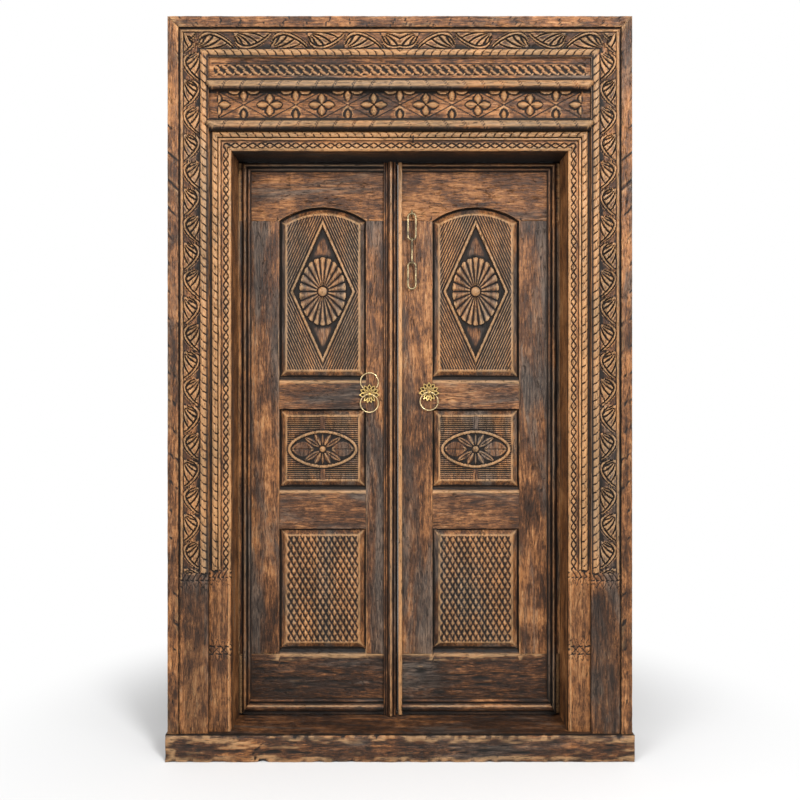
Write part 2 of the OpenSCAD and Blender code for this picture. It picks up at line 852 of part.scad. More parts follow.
// A second ring, stuck upright behind the left flower's petals: it stands on the washer.
module left_jammed_ring() {
    color("gold") on_side(LEFT)
        wire_ring(handle_x, y_leaf - ring_wire_r, left_handle_z + FLOWER_HUB_R + ring_wire_r + 2 * ring_mid_r);
}

// A link of round wire hanging from the origin, in the plane of X and Z
module link() {
    for (x = [-link_bend_r, link_bend_r])
        translate([x, 0, link_bend_r - link_run]) cylinder(r = link_wire_r, h = link_run - 2 * link_bend_r);
    translate([0, 0, -link_bend_r]) rotate([90, 0, 0])
        rotate_extrude(angle = 180) translate([link_bend_r, 0]) circle(link_wire_r);
    translate([0, 0, link_bend_r - link_run]) rotate([90, 180, 0])
        rotate_extrude(angle = 180) translate([link_bend_r, 0]) circle(link_wire_r);
}

module chain_staple() {
    color("darkgoldenrod") staple(chain_x, y_leaf, chain_z, y_leaf - y_chain);
}

module chain_top_link() {
    color("darkgoldenrod") translate([chain_x, y_chain, top_link_z]) link();
}

module chain_middle_link() {
    color("darkgoldenrod") translate([chain_x, y_chain, middle_link_z]) rotate([0, 0, 90]) link();
}

module chain_end_link() {
    color("darkgoldenrod") translate([chain_x, y_chain, end_link_z]) link();
}

threshold();
side_board(LEFT);  // left_side_board
side_board(RIGHT);  // right_side_board
top_board();
outer_jamb(LEFT);  // left_outer_jamb
outer_jamb(RIGHT);  // right_outer_jamb
outer_head();
upper_lintel();
upper_lintel_moulding();
lower_lintel();
lower_lintel_moulding();
inner_jamb(LEFT);  // left_inner_jamb
inner_jamb(RIGHT);  // right_inner_jamb
inner_head();
pivot_sockets();
lintel_staple();
hinge_stile(LEFT);  // left_hinge_stile
meeting_stile(LEFT);  // left_meeting_stile
top_rail(LEFT);  // left_top_rail
upper_rail(LEFT);  // left_upper_rail
lower_rail(LEFT);  // left_lower_rail
bottom_rail(LEFT);  // left_bottom_rail
top_panel(LEFT);  // left_top_panel
middle_panel(LEFT);  // left_middle_panel
bottom_panel(LEFT);  // left_bottom_panel
hinge_strip(LEFT);  // left_hinge_strip
top_strip(LEFT);  // left_top_strip
foot_strip(LEFT);  // left_foot_strip
meeting_strip(LEFT);  // left_meeting_strip
left_cover_bead();
pivot_pins(LEFT);  // left_pivot_pins
flower_plate(LEFT, left_handle_z);  // left_flower_plate
ring_stud(LEFT, left_handle_z);  // left_ring_stud
left_jammed_ring();
pull_ring(LEFT, left_handle_z);  // left_pull_ring
hinge_stile(RIGHT);  // right_hinge_stile
meeting_stile(RIGHT);  // right_meeting_stile
top_rail(RIGHT);  // right_top_rail
upper_rail(RIGHT);  // right_upper_rail
lower_rail(RIGHT);  // right_lower_rail
bottom_rail(RIGHT);  // right_bottom_rail
top_panel(RIGHT);  // right_top_panel
middle_panel(RIGHT);  // right_middle_panel
bottom_panel(RIGHT);  // right_bottom_panel
hinge_strip(RIGHT);  // right_hinge_strip
top_strip(RIGHT);  // right_top_strip
foot_strip(RIGHT);  // right_foot_strip
meeting_strip(RIGHT);  // right_meeting_strip
pivot_pins(RIGHT);  // right_pivot_pins
flower_plate(RIGHT, right_handle_z);  // right_flower_plate
ring_stud(RIGHT, right_handle_z);  // right_ring_stud
pull_ring(RIGHT, right_handle_z);  // right_pull_ring
chain_staple();
chain_top_link();
chain_middle_link();
chain_end_link();
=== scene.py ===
import json
import math
import bmesh
import bpy
import numpy as np
from mathutils import Matrix, Vector


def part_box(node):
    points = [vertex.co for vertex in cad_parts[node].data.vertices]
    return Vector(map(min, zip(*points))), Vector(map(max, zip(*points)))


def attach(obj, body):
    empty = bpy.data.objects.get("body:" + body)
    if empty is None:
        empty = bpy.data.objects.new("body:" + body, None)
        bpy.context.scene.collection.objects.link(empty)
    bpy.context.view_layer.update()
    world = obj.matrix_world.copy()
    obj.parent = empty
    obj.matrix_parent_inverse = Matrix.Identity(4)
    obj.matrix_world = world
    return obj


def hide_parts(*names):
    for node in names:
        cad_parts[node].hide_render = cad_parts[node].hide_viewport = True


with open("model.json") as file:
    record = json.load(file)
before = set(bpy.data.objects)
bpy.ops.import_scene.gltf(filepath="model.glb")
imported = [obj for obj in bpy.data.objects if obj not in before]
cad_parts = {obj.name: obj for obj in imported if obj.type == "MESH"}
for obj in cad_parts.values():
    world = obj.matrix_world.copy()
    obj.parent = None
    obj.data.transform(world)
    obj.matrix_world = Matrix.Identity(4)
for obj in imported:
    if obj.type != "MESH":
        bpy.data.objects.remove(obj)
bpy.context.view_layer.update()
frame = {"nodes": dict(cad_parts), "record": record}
print("frame loaded")


class Graph:
    def __init__(self, name):
        self.material = bpy.data.materials.new(name)
        self.material.use_nodes = True
        self.tree = self.material.node_tree
        self.tree.nodes.clear()

    def add(self, kind, settings=None, sockets=None, out=0):
        node = self.tree.nodes.new("ShaderNode" + kind)
        for key, value in (settings or {}).items():
            if key == "stops":
                while len(node.color_ramp.elements) < len(value):
                    node.color_ramp.elements.new(0.5)
                for element, (place, colour) in zip(node.color_ramp.elements, value):
                    element.position = place
                    element.color = (*colour, 1) if len(colour) == 3 else colour
            else:
                setattr(node, key, value)
        for key, value in (sockets or {}).items():
            if isinstance(value, Wire):
                self.tree.links.new(value.socket, node.inputs[key])
            else:
                node.inputs[key].default_value = value
        return Wire(self, node.outputs[out]) if node.outputs else None

    def mix(self, a, b, factor, blend="MIX"):  # colours a and b
        rgba = [(*c, 1) if isinstance(c, tuple) and len(c) == 3 else c for c in (a, b)]
        settings = {"data_type": "RGBA", "blend_type": blend, "clamp_factor": True}
        return self.add("Mix", settings, {0: factor, 6: rgba[0], 7: rgba[1]}, out=2)

    def noise(self, place, scale, detail=4, rough=0.55, distort=0.0):
        sockets = {"Vector": place, "Scale": scale, "Detail": detail, "Roughness": rough,
                   "Distortion": distort}
        return self.add("TexNoise", None, sockets)

    def stretched(self, place, stretch):  # squeezes the pattern's space along each axis
        return self.add("VectorMath", {"operation": "MULTIPLY"}, {0: place, 1: stretch})


class Wire:
    def __init__(self, graph, socket):
        self.graph, self.socket = graph, socket

    def math(self, operation, other=0.0, swap=False):
        a, b = (other, self) if swap else (self, other)
        return self.graph.add("Math", {"operation": operation}, {0: a, 1: b})

    def __add__(self, other): return self.math("ADD", other)
    __radd__ = __add__
    def __mul__(self, other): return self.math("MULTIPLY", other)
    __rmul__ = __mul__
    def __sub__(self, other): return self.math("SUBTRACT", other)
    def __rsub__(self, other): return self.math("SUBTRACT", other, swap=True)
    def __pow__(self, other): return self.math("POWER", other)

    def between(self, low, high):  # 0 below low, 1 above high, smooth between
        sockets = {"Value": self, "From Min": low, "From Max": high}
        return self.graph.add("MapRange", {"interpolation_type": "SMOOTHSTEP"}, sockets)

    def clamp(self):
        return self.graph.add("Clamp", None, {"Value": self})


woodTones = {
    "black": (0.0060, 0.0045, 0.0035),
    "soot": (0.019, 0.0145, 0.0120),
    "grey": (0.118, 0.094, 0.075),
    "dark": (0.020, 0.0092, 0.0048),
    "brown": (0.078, 0.030, 0.0108),
    "tan": (0.225, 0.094, 0.034),
    "orange": (0.33, 0.122, 0.030),
    "worn": (0.47, 0.275, 0.128),
}


# Old oiled wood. grain is the axis that the fibres follow, rub how much of it is worn to bare
# orange-brown wood, patina how much has gone grey-black, and dark makes the whole board darker.
def wood(name, grain, rub=0.5, patina=0.5, dark=0.0, rough=0.47):
    g = Graph(name)
    place = g.add("TexCoord", None, None, out=3)
    board = g.add("Attribute", {"attribute_name": "board"}, None, out=1)
    place = g.add("VectorMath", {"operation": "ADD"}, {0: place, 1: board})
    along = {"x": (0.11, 1, 1), "z": (1, 1, 0.11)}[grain]
    wide = {"x": (0.17, 1, 1), "z": (1, 1, 0.17)}[grain]
    fleck = {"x": (0.14, 1, 1), "z": (1, 1, 0.14)}[grain]
    fibre = g.noise(g.stretched(place, along), 210, 6, 0.74, 0.9)
    fine = g.noise(g.stretched(place, along), 560, 3, 0.6)
    figure = g.noise(g.stretched(place, wide), 30, 7, 0.72, 0.9)
    flecks = g.noise(g.stretched(place, fleck), 140, 5, 0.72, 1.2)
    cloud = g.noise(place, 5.2, 6, 0.66, 0.4)
    spots = g.noise(place, 52, 6, 0.7)
    hollow = g.add("Attribute", {"attribute_name": "hollow"}, None, out=2)
    ridge = g.add("Attribute", {"attribute_name": "ridge"}, None, out=2)
    streak = fibre.between(0.38, 0.63)
    tone = streak * 0.27 + figure.between(0.34, 0.66) * 0.26 + flecks.between(0.38, 0.62) * 0.18
    tone = tone + spots.between(0.35, 0.65) * 0.16 + (cloud - 0.5) * 1.25 + 0.06 - dark
    base = g.add("ValToRGB", {"stops": [(0.18, woodTones["dark"]), (0.45, woodTones["brown"]),
                                       (0.70, woodTones["tan"]), (0.98, woodTones["worn"])]}, {"Fac": tone})
    bare = figure * 0.5 + spots * 0.2 + (cloud - 0.5) * 0.6 + 0.15 + ridge * 0.08
    bare = bare.between(0.58 - 0.14 * rub, 0.74 - 0.12 * rub)
    base = g.mix(base, woodTones["orange"], bare * (streak * 0.3 + 0.25))
    old = g.noise(g.stretched(place, wide), 7, 8, 0.66, 1.0) * 0.75 + spots * 0.15 + flecks * 0.10
    old = old.between(0.55 - 0.10 * patina, 0.66 - 0.10 * patina)
    grey = g.mix(woodTones["soot"], woodTones["grey"], (fibre * 0.5 + figure * 0.5).between(0.40, 0.64))
    base = g.mix(base, grey, old * 0.84)
    # painted highlight, with rubbed wear, lightens the ridges and crests
    base = g.mix(base, woodTones["worn"], (ridge * (fine * 1.0 + 0.25)).between(0.15, 1.0) * 0.6)
    scratch = g.noise(g.stretched(place, along), 420, 4, 0.8, 2.0).between(0.63, 0.72)
    base = g.mix(base, woodTones["worn"], scratch * (0.2 + 0.3 * streak))
    crack = g.noise(g.stretched(place, along), 58, 3, 0.5, 0.4)
    split = 1 - ((crack - 0.5).math("ABSOLUTE") * 46).clamp()
    split = split * spots.between(0.48, 0.56)
    pores = 1 - g.noise(g.stretched(place, fleck), 330, 2, 0.5).between(0.30, 0.40)
    base = g.mix(base, woodTones["black"], split * 0.75)
    base = g.mix(base, woodTones["black"], pores * 0.6)
    # painted shade, with grime, turns the hollows near black
    base = g.mix(base, woodTones["black"], (hollow * 1.3).between(0.06, 0.95) * 0.96)
    height = fibre * 0.6 + fine * 0.25 + figure * 0.4 + flecks * 0.3 - split * 0.6 - pores * 0.35
    bump = g.add("Bump", None, {"Strength": 0.8, "Distance": 0.0030, "Height": height})
    shine = rough + (fibre - 0.5) * 0.35 + old * 0.06 + hollow * 0.25 - ridge * 0.14
    shader = g.add("BsdfPrincipled", None, {"Base Color": base, "Roughness": shine.clamp(), "Normal": bump,
                                            "Specular IOR Level": 0.24})
    g.add("OutputMaterial", None, {"Surface": shader})
    return g.material


# Cast or drawn metal: tone rubbed bright on the outside, brown in the pits
def metal(name, tone, tarnish, amount, rough):
    g = Graph(name)
    place = g.add("TexCoord", None, None, out=3)
    patch = g.noise(place, 60, 5, 0.6)
    pits = g.noise(place, 420, 4, 0.6)
    worn = (patch * 0.6 + pits * 0.4).between(0.62 - 0.3 * amount, 0.78 - 0.3 * amount)
    worn = (worn + g.add("Attribute", {"attribute_name": "hollow"}, None, out=2)).clamp()
    colour = g.mix(tone, tarnish, worn)
    bump = g.add("Bump", None, {"Strength": 0.3, "Distance": 0.0005, "Height": pits})
    shader = g.add("BsdfPrincipled", None, {"Base Color": colour, "Roughness": rough + worn * 0.3,
                                            "Metallic": 1 - worn * 0.5, "Normal": bump})
    g.add("OutputMaterial", None, {"Surface": shader})
    return g.material


def drift(u, v, size, seed):  # smooth random field from 0 to 1 with bumps size[0] by size[1]
    table = np.random.default_rng(seed).random((128, 128))
    a, b = u / size[0], v / size[1]
    i, j = np.floor(a).astype(int), np.floor(b).astype(int)
    f, g = a - i, b - j
    f, g = f * f * (3 - 2 * f), g * g * (3 - 2 * g)
    i, j, k, l = i % 128, j % 128, (i + 1) % 128, (j + 1) % 128
    return (table[i, j] * (1 - f) + table[k, j] * f) * (1 - g) + (table[i, l] * (1 - f) + table[k, l] * f) * g


def cut(d, width, depth):  # V groove where d is 0
    return -depth * np.clip(1 - np.abs(d) * 2 / width, 0, 1)


def chip(d, width, depth):  # groove with steep sides and a flat floor
    return np.maximum(cut(d, width, depth * 1.9), -depth)


def bead(d, width, height):  # half round whose middle is where d is 0
    return height * np.sqrt(np.clip(1 - (2 * d / width) ** 2, 0, 1))


def step(d, soft=0.8):  # 0 where d is below 0, then quickly 1
    return np.clip(d / soft, 0, 1)


def petal(u, v, length, width, height, fold=0.55):  # pointed leaf from 0 along u, folded along its middle
    t = np.clip(u / length, 0, 1)
    half = np.maximum(width / 2 * (4 * t * (1 - t)) ** 0.75, 0.01)
    return height * np.clip(1 - np.abs(v) / half, 0, 1) ** fold


def turned(u, v, degrees):
    c, s = math.cos(math.radians(degrees)), math.sin(math.radians(degrees))
    return c * u + s * v, c * v - s * u


vine = {"swing": 20.5, "stem": 7, "cut": 5.4, "deep": 5.8, "angles": (18, 38, 58, 78, 98)}


# A scroll with a shell leaf in each bend, chip-cut in a flat band: b runs across from -24 to 24 and
# l along from the root. Each bend rises quickly and runs out slowly.
def vineRelief(b, l, pitch):
    turn = np.where(np.floor(l / pitch) % 2 == 0, 1.0, -1.0)
    a = l / pitch - np.floor(l / pitch)
    q = b * turn
    swing = vine["swing"]
    line = swing * (2 * np.sin(np.pi * a ** 0.62) ** 0.72 - 1)
    slope = np.where(a < 0.3, 2.2, np.where(a > 0.5, -1.35, 0)) * swing * 2 / pitch
    gap = (line - q) / np.hypot(1, slope)
    h = -0.9 - 1.5 * step(-gap - vine["stem"], 2)
    h = np.minimum(h, chip(gap - vine["stem"] / 2 - 1, vine["cut"], vine["deep"]))
    h = np.minimum(h, chip(gap + vine["stem"] / 2 + 1, 4.2, 4.6))
    h = h + bead(gap, vine["stem"] - 1.5, 1.0) * (np.abs(gap) < vine["stem"] / 2)
    du, dv = (a + 0.02) * 78, q + 22
    reach = np.hypot(du, dv)
    spread = np.degrees(np.arctan2(du, dv)) + (reach - 20) * 0.42
    for place in vine["angles"]:
        off = (spread - place) / 57.3 * reach
        wide = 1.6 + 4.6 * np.sin(np.pi * np.clip((reach - 9) / 62, 0, 1))
        h = np.minimum(h, chip(off, wide, vine["deep"]) * (gap > vine["stem"] / 2 + 1) * step(reach - 9, 3))
    petalEdge = np.clip((q + 24) / 2.4, 0, 1)
    return np.where(gap > 3, h - 1.8 * (1 - petalEdge), h)


def ropeRelief(d, l, width, height, pitch=24.0, lean=1):  # round cord with slanted comma cuts
    across = d / width
    phase = (l / pitch - lean * (across * 0.62 - across ** 2 * 0.55)) % 1.0
    cutting = cut((phase - 0.5) * pitch, 5.2, 4.0) * np.clip(0.95 + across * 1.1, 0, 1)
    return bead(d, width, height) + cutting * (np.abs(across) < 0.5)


def chainRelief(d, l, width, pitch=25.0):  # crossed V cuts that leave lozenges
    t = d / width
    one = ((l / pitch + t) % 1.0 - 0.5) * pitch
    two = ((l / pitch - t) % 1.0 - 0.5) * pitch
    inside = step(width / 2 - np.abs(d), 1.5)
    return np.minimum(cut(one, 8.5, 4.5), cut(two, 8.5, 4.5)) * inside


def tickRelief(l, d, pitch, lean, gap=5.5, depth=1.6, width=2.6):  # pairs of slanted cuts
    place = (l - lean * d) % pitch - pitch / 2
    return np.minimum(cut(place - gap / 2, width, depth), cut(place + gap / 2, width, depth))


bodyOf = {node: body for body, nodes in frame["record"]["behaviour"]["bodies"].items() for node in nodes}


def box(node):  # lowest and highest corner in millimetres
    low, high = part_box(node)
    return [1000 * v for v in low], [1000 * v for v in high]


def blur(h, n):  # mean over a square of 2n + 1 cells
    for axis in (0, 1):
        pad = [(0, 0), (0, 0)]
        pad[axis] = (n + 1, n)
        total = np.cumsum(np.pad(h, pad, mode="edge"), axis=axis)
        size = h.shape[axis]
        high = np.take(total, np.arange(2 * n + 1, 2 * n + 1 + size), axis=axis)
        h = (high - np.take(total, np.arange(size), axis=axis)) / (2 * n + 1)
    return h


def fourSided(a, b, c, d):  # outline from lower left, round to upper left
    def shape(s, t):
        x = (1 - t) * ((1 - s) * a[0] + s * b[0]) + t * ((1 - s) * d[0] + s * c[0])
        z = (1 - t) * ((1 - s) * a[1] + s * b[1]) + t * ((1 - s) * d[1] + s * c[1])
        return x, z
    return shape


def rectangle(x0, x1, z0, z1):
    return fourSided((x0, z0), (x1, z0), (x1, z1), (x0, z1))


finished = {}


# Makes one board: its front is a grid that follows relief(x, z), its sides run back to back.
# face and back are depths, edge is how far its arrises are rubbed round.
def carve(name, nodes, shape, face, back, relief, material, step=2.0, edge=2.0, side=1, rings=None, seed=1,
          extra=None, sidePaintedShade=0.25, shade=1.0, deepPaintedShade=None):
    corners = [shape(np.array(s), np.array(t)) for s, t in ((0., 0.), (1., 0.), (1., 1.), (0., 1.))]
    (x0, z0), (x1, z1), (x2, z2), (x3, z3) = corners
    wide = max(math.hypot(x1 - x0, z1 - z0), math.hypot(x2 - x3, z2 - z3))
    tall = max(math.hypot(x3 - x0, z3 - z0), math.hypot(x2 - x1, z2 - z1))
    stepX, stepZ = step if isinstance(step, tuple) else (step, step)
    nx, nz = max(6, round(wide / stepX)), max(6, round(tall / stepZ))

    def lines(n, size):  # grid lines, closer together at both edges
        even = np.linspace(0, size, n + 1)
        for i, at in enumerate((0.5, 1.4, 2.8)):
            if i + 1 < n / 2 and even[i + 1] > at:
                even[i + 1], even[n - i - 1] = at, size - at
        return even / size

    s, t = np.meshgrid(lines(nx, wide), lines(nz, tall))
    x, z = shape(s, t)
    h, tint = relief(x, z), 0
    if isinstance(h, tuple):
        h, tint = h  # below 0 is painted shade and grime, above 0 is painted highlight and rubbed wear
    worn = edge * (0.45 + 1.1 * drift(x + z, z - x, (23, 23), seed) ** 1.6)
    near = np.minimum(np.minimum(s, 1 - s) * wide, np.minimum(t, 1 - t) * tall)
    near = np.clip(near / np.maximum(worn, 0.01), 0, 1)
    fall = worn * (1 - np.sqrt(1 - (1 - near) ** 2))
    h = h - fall + 0.5 * (drift(x, z, (70, 70), seed + 3) - 0.5)
    # the relief's dips become painted shade with grime (hollow), its crests painted highlight with wear
    # (ridge)
    small = h - blur(h, 2)
    broad = h - blur(h, 6)
    lift = shade * (small / 0.9 + broad / 2.6 + np.minimum(h - blur(h, 12), 0) / 9) + tint
    edgeRub = np.clip(1.2 - near * 1.2, 0, 1) * 0.45 * (edge > 0)
    hollow = np.clip(-lift, 0, 1)
    ridge = np.maximum(lift * 0.9 - 0.3 + np.maximum(tint, 0) * 0.4, edgeRub + np.minimum(tint, 0))
    ridge = np.clip(ridge, 0, 1)

    bm = bmesh.new()
    bmesh.ops.create_grid(bm, x_segments=nx, y_segments=nz, size=0.5)
    mesh = bpy.data.meshes.new(name)
    bm.to_mesh(mesh)
    bm.free()
    flat = np.empty(len(mesh.vertices) * 3)
    mesh.vertices.foreach_get("co", flat)
    flat = flat.reshape(-1, 3)
    i = np.rint((flat[:, 0] + 0.5) * nx).astype(int)
    j = np.rint((flat[:, 1] + 0.5) * nz).astype(int)
    place = np.column_stack([side * x[j, i], face - h[j, i], z[j, i]]) / 1000
    mesh.vertices.foreach_set("co", place.ravel())
    for label, field in (("hollow", hollow), ("ridge", ridge)):
        mesh.attributes.new(label, "FLOAT", "POINT").data.foreach_set("value", field[j, i].astype(np.float32))
    front = len(mesh.vertices)

    bm = bmesh.new()
    bm.from_mesh(mesh)
    rim = [e for e in bm.edges if e.is_boundary]
    middle = (side * (x.min() + x.max()) / 2000, (z.min() + z.max()) / 2000)
    rings = rings or [(back - 1.5, 0.0), (back, 1.5)]
    nearRing = [(face + 6 - h.min(), 0.0)] if rings[0][0] - face > 30 else []
    for depth, inset in nearRing + rings:
        made = bmesh.ops.extrude_edge_only(bm, edges=rim)["geom"]
        for v in (g for g in made if isinstance(g, bmesh.types.BMVert)):
            v.co.y = depth / 1000
            if callable(inset):
                inset(v)
            elif inset:
                v.co.x -= math.copysign(inset / 1000, v.co.x - middle[0])
                v.co.z -= math.copysign(inset / 1000, v.co.z - middle[1])
        rim = [g for g in made if isinstance(g, bmesh.types.BMEdge) and g.is_boundary]
    bmesh.ops.holes_fill(bm, edges=rim, sides=0)
    if extra:
        extra(bm)
    bmesh.ops.recalc_face_normals(bm, faces=bm.faces)
    bm.to_mesh(mesh)
    bm.free()
    # the sides and back get an even painted shade
    for label, plain in (("hollow", sidePaintedShade), ("ridge", 0.0)):
        values = np.full(len(mesh.vertices), plain, np.float32)
        if deepPaintedShade and label == "hollow":  # painted shade, blacker towards the back of the reveal
            flat = np.empty(len(mesh.vertices) * 3)
            mesh.vertices.foreach_get("co", flat)
            deep, last = flat[1::3] * 1000, rings[-1][0]
            grade = np.clip((deep - face - 6) / (last - face - 6), 0, 1) * (deep < min(last + 1, back - 0.6))
            values = (plain + (deepPaintedShade - plain) * grade).astype(np.float32)
        old = np.empty(len(mesh.vertices), np.float32)
        mesh.attributes[label].data.foreach_get("value", old)
        values[:front] = old[:front]
        mesh.attributes[label].data.foreach_set("value", values)
    return finish(name, nodes, mesh, material, seed)


def finish(name, nodes, mesh, material, seed, smooth=38):
    shift = np.random.default_rng(seed).random(3).astype(np.float32) * 9
    mesh.attributes.new("board", "FLOAT_VECTOR", "POINT").data.foreach_set("vector",
                                                                         np.tile(shift, len(mesh.vertices)))
    for polygon in mesh.polygons:
        polygon.use_smooth = True
    mesh.set_sharp_from_angle(angle=math.radians(smooth))
    piece = bpy.data.objects.new(name, mesh)
    bpy.context.scene.collection.objects.link(piece)
    mesh.materials.append(material)
    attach(piece, bodyOf[nodes[0]])
    for node in nodes:
        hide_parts(node)
    finished[name] = piece
    return piece


def addBlock(bm, low, high):  # plain block between two corners in millimetres
    made = bmesh.ops.create_cube(bm, size=1)["verts"]
    for v in made:
        v.co = [(lo + (c + 0.5) * (hi - lo)) / 1000 for lo, hi, c in zip(low, high, v.co)]


boardLow, boardHigh = box("right_side_board")
outLow = box("right_outer_jamb")[0]
innerLow = box("right_inner_jamb")[0]
sillLow, sillHigh = box("threshold")
topLow, topHigh = box("top_board")
headLow = box("outer_head")[0]
innerHeadLow, innerHeadHigh = box("inner_head")
leafLow, leafHigh = box("right_hinge_stile")

xOut, xBoard, xOuter, xOpen = boardHigh[0], boardLow[0], outLow[0], innerLow[0]
zFloor, zTop, zBoard, zOuter = sillHigh[2], topHigh[2], topLow[2], headLow[2]
zHead, zOpen = innerHeadHigh[2], innerHeadLow[2]
yBoard, yBack = boardLow[1], boardHigh[1]

frameLooks = {
    "outerSet": 5, "innerSet": 18,
    "fillet": 13, "vineWidth": 48, "ropeWidth": 17, "ropeHeight": 5.5, "ropeSink": 2,
    "innerRope": 17, "innerFillet": 29.5, "chainAt": 48, "chainWidth": 17,
    "carvingEnds": 537, "bandHeight": 22, "innerBandZ": (300, 322),
    "leafPitch": 15, "leafLean": 0.6, "petalTip": 20, "petalReach": 22, "crossPitch": 21,
    "arrisFall": 5.5, "arrisWidth": 6,
}


def jambFoot(d, z, top, width):  # slanted leaf band with pointed petals hanging from it
    f = frameLooks
    band = (z < top) & (z > top - f["bandHeight"])
    slant = cut(((d + (top - z) * f["leafLean"]) % f["leafPitch"]) - f["leafPitch"] / 2, 4.5, 2.2)
    lines = np.minimum(cut(z - top, 3, 2.4), cut(z - top + f["bandHeight"], 3, 2.4))
    hang = top - f["bandHeight"] - z
    tip = f["petalTip"] * np.abs(((d / (width / 4)) % 1) - 0.5) * 2
    points = cut(hang - f["petalReach"] + tip, 4, 1.6) * (hang > 1)
    return np.where(band, slant, 0) + lines + np.where(band, 0, points)


def outerRelief(d, l, z, pitch, along):  # d runs in from the board, l and along from the corner
    f = frameLooks
    mid = f["fillet"] + f["vineWidth"] / 2
    inVine = (d > f["fillet"]) & (d < f["fillet"] + f["vineWidth"])
    ropeAt = f["fillet"] + f["vineWidth"] + 1 + f["ropeWidth"] / 2
    carved = np.where(inVine, vineRelief(d - mid, l, pitch), -1.2)
    rope = ropeRelief(d - ropeAt, along, f["ropeWidth"], f["ropeHeight"]) - f["ropeSink"]
    carved = np.where(np.abs(d - ropeAt) < f["ropeWidth"] / 2, rope, carved - 0.4 * (d > ropeAt))
    carved = carved + cut(d - 1, 3, 3) + cut(d - f["fillet"], 2.6, 2.2) + bead(d - 9.5, 4, 1.2) * (d < 11.5)
    # painted shade in the step beside the side board; painted highlight on the small bead, the rope's crest
    # and the flat past the rope; the vine band darker
    tint = np.where(d < 7, -0.5, 0) + np.where(np.abs(d - 10.5) < 1.6, 0.5, 0)
    tint = tint + np.where(np.abs(d - ropeAt) < f["ropeWidth"] * 0.45, 0.5, 0) - 0.24 * inVine
    tint = tint + 1.1 * (d > ropeAt + f["ropeWidth"] / 2)
    plain = cut(d - 1, 3, 3) - 0.8
    if z is None:
        return carved, tint
    low = z < f["carvingEnds"]
    return np.where(low, plain + jambFoot(d, z, f["carvingEnds"], 80), carved), np.where(low, -0.38, tint)


def innerRelief(d, l, z):
    f = frameLooks
    ropeEdge = f["innerRope"] + f["ropeWidth"] / 2
    chainEdge = f["chainAt"] + f["chainWidth"] / 2
    h = np.where(d < ropeEdge, -1.4, -1.0)
    h = np.where(np.abs(d - f["innerRope"]) < f["ropeWidth"] / 2,
                 ropeRelief(d - f["innerRope"], l, f["ropeWidth"], f["ropeHeight"]), h)
    h = np.where(np.abs(d - f["innerFillet"]) < 3.5, bead(d - f["innerFillet"], 7, 1.6), h)
    h = h + cut(d - ropeEdge, 3, 3) + cut(d - f["innerFillet"] - 5, 3, 1.8)
    chain = np.abs(d - f["chainAt"]) < f["chainWidth"] / 2 + 2
    h = np.where(chain, chainRelief(d - f["chainAt"], l, f["chainWidth"]) - 1.2, h)
    # the arris at the opening is worn down
    worn = f["arrisFall"] * np.clip((d - chainEdge - 1.5) / f["arrisWidth"], 0, 1) ** 2.2
    h = h - worn
    # painted highlight on the flat outside the rope, the rope's crest and the fillet bead; the worn arris
    # lighter
    tint = np.where(d < f["innerRope"] - f["ropeWidth"] / 2, 0.9, 0.1)
    tint = tint + np.where(np.abs(d - f["innerRope"]) < f["ropeWidth"] * 0.45, 0.5, 0)
    tint = tint + np.where(np.abs(d - f["innerFillet"]) < 2.4, 0.5, 0) + np.where(d > chainEdge + 1, 0.35, 0)
    if z is None:
        return h, tint
    low = z < f["carvingEnds"] + 6
    foot = jambFoot(d, z, f["carvingEnds"] + 6, 64) - worn
    bandLow, bandHigh = f["innerBandZ"]
    band = (z > bandLow) & (z < bandHigh)
    crossed = np.minimum(cut((z - bandLow + d - 3) % f["crossPitch"] - 10, 4, 2.4),
                         cut((z - bandLow - d - 3) % f["crossPitch"] - 10, 4, 2.4))
    lines = np.minimum(cut(z - bandHigh, 3, 2.4), cut(z - bandLow, 3, 2.4))
    tip = f["petalTip"] * np.abs(((d / 16) % 1) - 0.5) * 2
    away = np.maximum(bandLow - z, z - bandHigh)
    points = cut(away - f["petalTip"] + tip, 4, 1.6) * (away > 1)
    foot = foot + np.where(band, crossed, points) + lines
    return np.where(low, foot, h), np.where(low, 0.4 * (d > chainEdge) - 0.3, tint)


darkAcross = wood("frame_wood_across", "x", rub=0.55, patina=0.42)
darkUp = wood("frame_wood_up", "z", rub=0.55, patina=0.42)
warmAcross = wood("inner_wood_across", "x", rub=0.85, patina=0.2, dark=-0.04)
warmUp = wood("inner_wood_up", "z", rub=1.0, patina=0.1, dark=-0.08)
leafAcross = wood("leaf_wood_across", "x", rub=0.4, patina=1.0)
leafUp = wood("leaf_wood_up", "z", rub=0.55, patina=0.8)
footAcross = wood("foot_wood", "x", rub=0.15, patina=0.65, dark=0.20)
sillWood = wood("sill_wood", "x", rub=0.4, patina=0.3, dark=0.14)
meetWood = wood("meeting_bead_wood", "z", rub=1.3, patina=0.0, dark=-0.14)
mouldUp = wood("moulding_wood_up", "z", rub=0.5, patina=0.5, dark=0.10)
mouldAcross = wood("moulding_wood_across", "x", rub=0.4, patina=0.5, dark=0.10)
rollWood = wood("roll_wood", "x", rub=0.5, patina=0.6, dark=0.13)
archWood = wood("arched_rail_wood", "x", rub=0.8, patina=0.45, dark=-0.03)
brass = metal("rubbed_brass", (0.64, 0.44, 0.16), (0.06, 0.032, 0.012), 0.4, 0.30)
ringBrass = metal("ring_brass", (0.64, 0.49, 0.26), (0.17, 0.11, 0.05), 0.5, 0.32)
agedBrass = metal("aged_brass", (0.30, 0.235, 0.13), (0.06, 0.045, 0.028), 0.55, 0.36)
iron = metal("old_iron", (0.055, 0.045, 0.04), (0.035, 0.016, 0.009), 0.7, 0.6)

